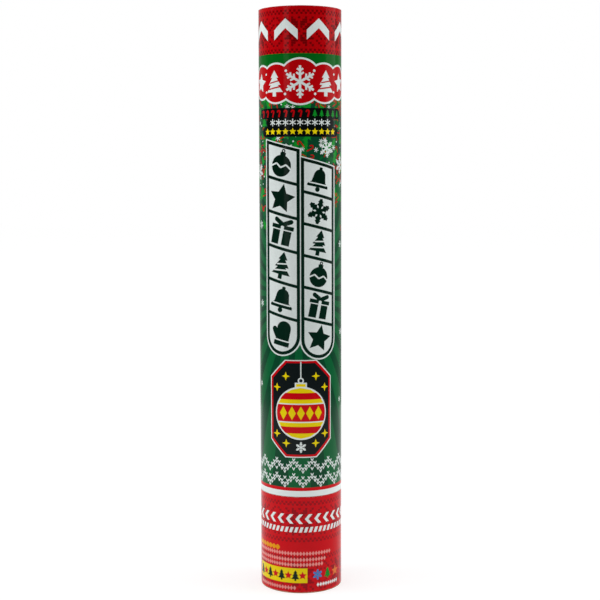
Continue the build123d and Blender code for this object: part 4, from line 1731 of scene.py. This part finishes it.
def dark_room():
    """A dark floor round the white table and a dark wall, open at the back, that only gloss sees."""
    rings = [(TABLE_RADIUS, ROOM_FLOOR), (WALL_RADIUS, ROOM_FLOOR), (WALL_RADIUS, WALL_HEIGHT)]
    room = turned("studio_room", rings, WALL_SIDES, closed=False)
    bpy.ops.object.mode_set(mode="EDIT")
    bpy.ops.mesh.select_mode(type="FACE")
    bpy.ops.mesh.select_all(action="DESELECT")
    for face in bmesh.from_edit_mesh(room.data).faces:
        middle = face.calc_center_median()
        face.select_set(abs(math.atan2(middle.x, middle.y)) < math.radians(WALL_GAP / 2))
    bpy.ops.mesh.delete(type="FACE")
    bpy.ops.object.mode_set(mode="OBJECT")
    finish = Finish("studio_dark_cloth")
    finish.set(Roughness=1.0, Specular_IOR_Level=0.0, Emission_Color=(1, 1, 1, 1))
    across, along, _ = finish.axes()
    behind = finish.sums("ABSOLUTE", finish.sums("ARCTAN2", across, along))
    glows = [finish.spread(behind, math.radians(dark), math.radians(full), 0, level)
             for dark, full, level in WALL_GLOWS]
    cloth = finish.mixed(finish.grain(6), *([grey] * 3 for grey in CLOTH_GREYS))
    finish.set(Base_Color=cloth, Emission_Strength=finish.sums("ADD", *glows))
    dress(room, finish.material)
    for ray in ("camera", "diffuse", "transmission", "volume_scatter", "shadow"):
        setattr(room, "visible_" + ray, False)


class POPPER_OT_stage(PopperOperator, bpy.types.Operator):
    """Sets the floor, the lights and the camera"""

    bl_idname = "popper.stage"
    bl_label = "Stage"

    def build(self, sizes, colours):
        bpy.context.scene.view_settings.view_transform = "Standard"
        white_world()
        pale_floor()
        dark_room()
        for name, settings in SOFTBOXES.items():
            softbox(name, *settings)
        lens = bpy.data.cameras.new("view")
        lens.lens = CAMERA_LENS
        lens.sensor_width = CAMERA_SENSOR
        lens.shift_x, lens.shift_y = CAMERA_SHIFT
        camera = bpy.data.objects.new("view", lens)
        bpy.context.collection.objects.link(camera)
        camera.location = CAMERA_PLACE
        camera.rotation_euler = (math.radians(90 - CAMERA_PITCH), math.radians(CAMERA_ROLL), 0)
        bpy.context.scene.camera = camera


class POPPER_PT_panel(bpy.types.Panel):
    """Lists the popper's operators, sizes and colours"""

    bl_label = "Confetti popper"
    bl_idname = "POPPER_PT_panel"
    bl_space_type = "VIEW_3D"
    bl_region_type = "UI"
    bl_category = "Popper"

    def draw(self, context):
        for operator in OPERATORS:
            self.layout.operator(operator.bl_idname)
        for group in (context.scene.popper_sizes, context.scene.popper_colours):
            column = self.layout.column()
            for name in group.bl_rna.properties.keys():
                if name not in ("rna_type", "name"):
                    column.prop(group, name)


OPERATORS = (
    POPPER_OT_barrel_label,
    POPPER_OT_handle_label,
    POPPER_OT_tubes,
    POPPER_OT_base_cap,
    POPPER_OT_muzzle_seal,
    POPPER_OT_wad,
    POPPER_OT_confetti,
    POPPER_OT_finishes,
    POPPER_OT_stage,
)
CLASSES = (PopperSizes, PopperColours) + OPERATORS + (POPPER_PT_panel,)


def register():
    """Registers the classes and the scene's sizes and colours."""
    for item in CLASSES:
        bpy.utils.register_class(item)
    bpy.types.Scene.popper_sizes = PointerProperty(type=PopperSizes)
    bpy.types.Scene.popper_colours = PointerProperty(type=PopperColours)


def unregister():
    """Takes away what register added."""
    del bpy.types.Scene.popper_colours
    del bpy.types.Scene.popper_sizes
    for item in reversed(CLASSES):
        bpy.utils.unregister_class(item)


def main():
    """Builds the whole popper and its stage."""
    register()
    bpy.ops.popper.barrel_label()
    bpy.ops.popper.handle_label()
    bpy.ops.popper.tubes()
    bpy.ops.popper.base_cap()
    bpy.ops.popper.muzzle_seal()
    bpy.ops.popper.wad()
    bpy.ops.popper.confetti()
    bpy.ops.popper.finishes()
    bpy.ops.popper.stage()


if __name__ == "__main__":
    main()
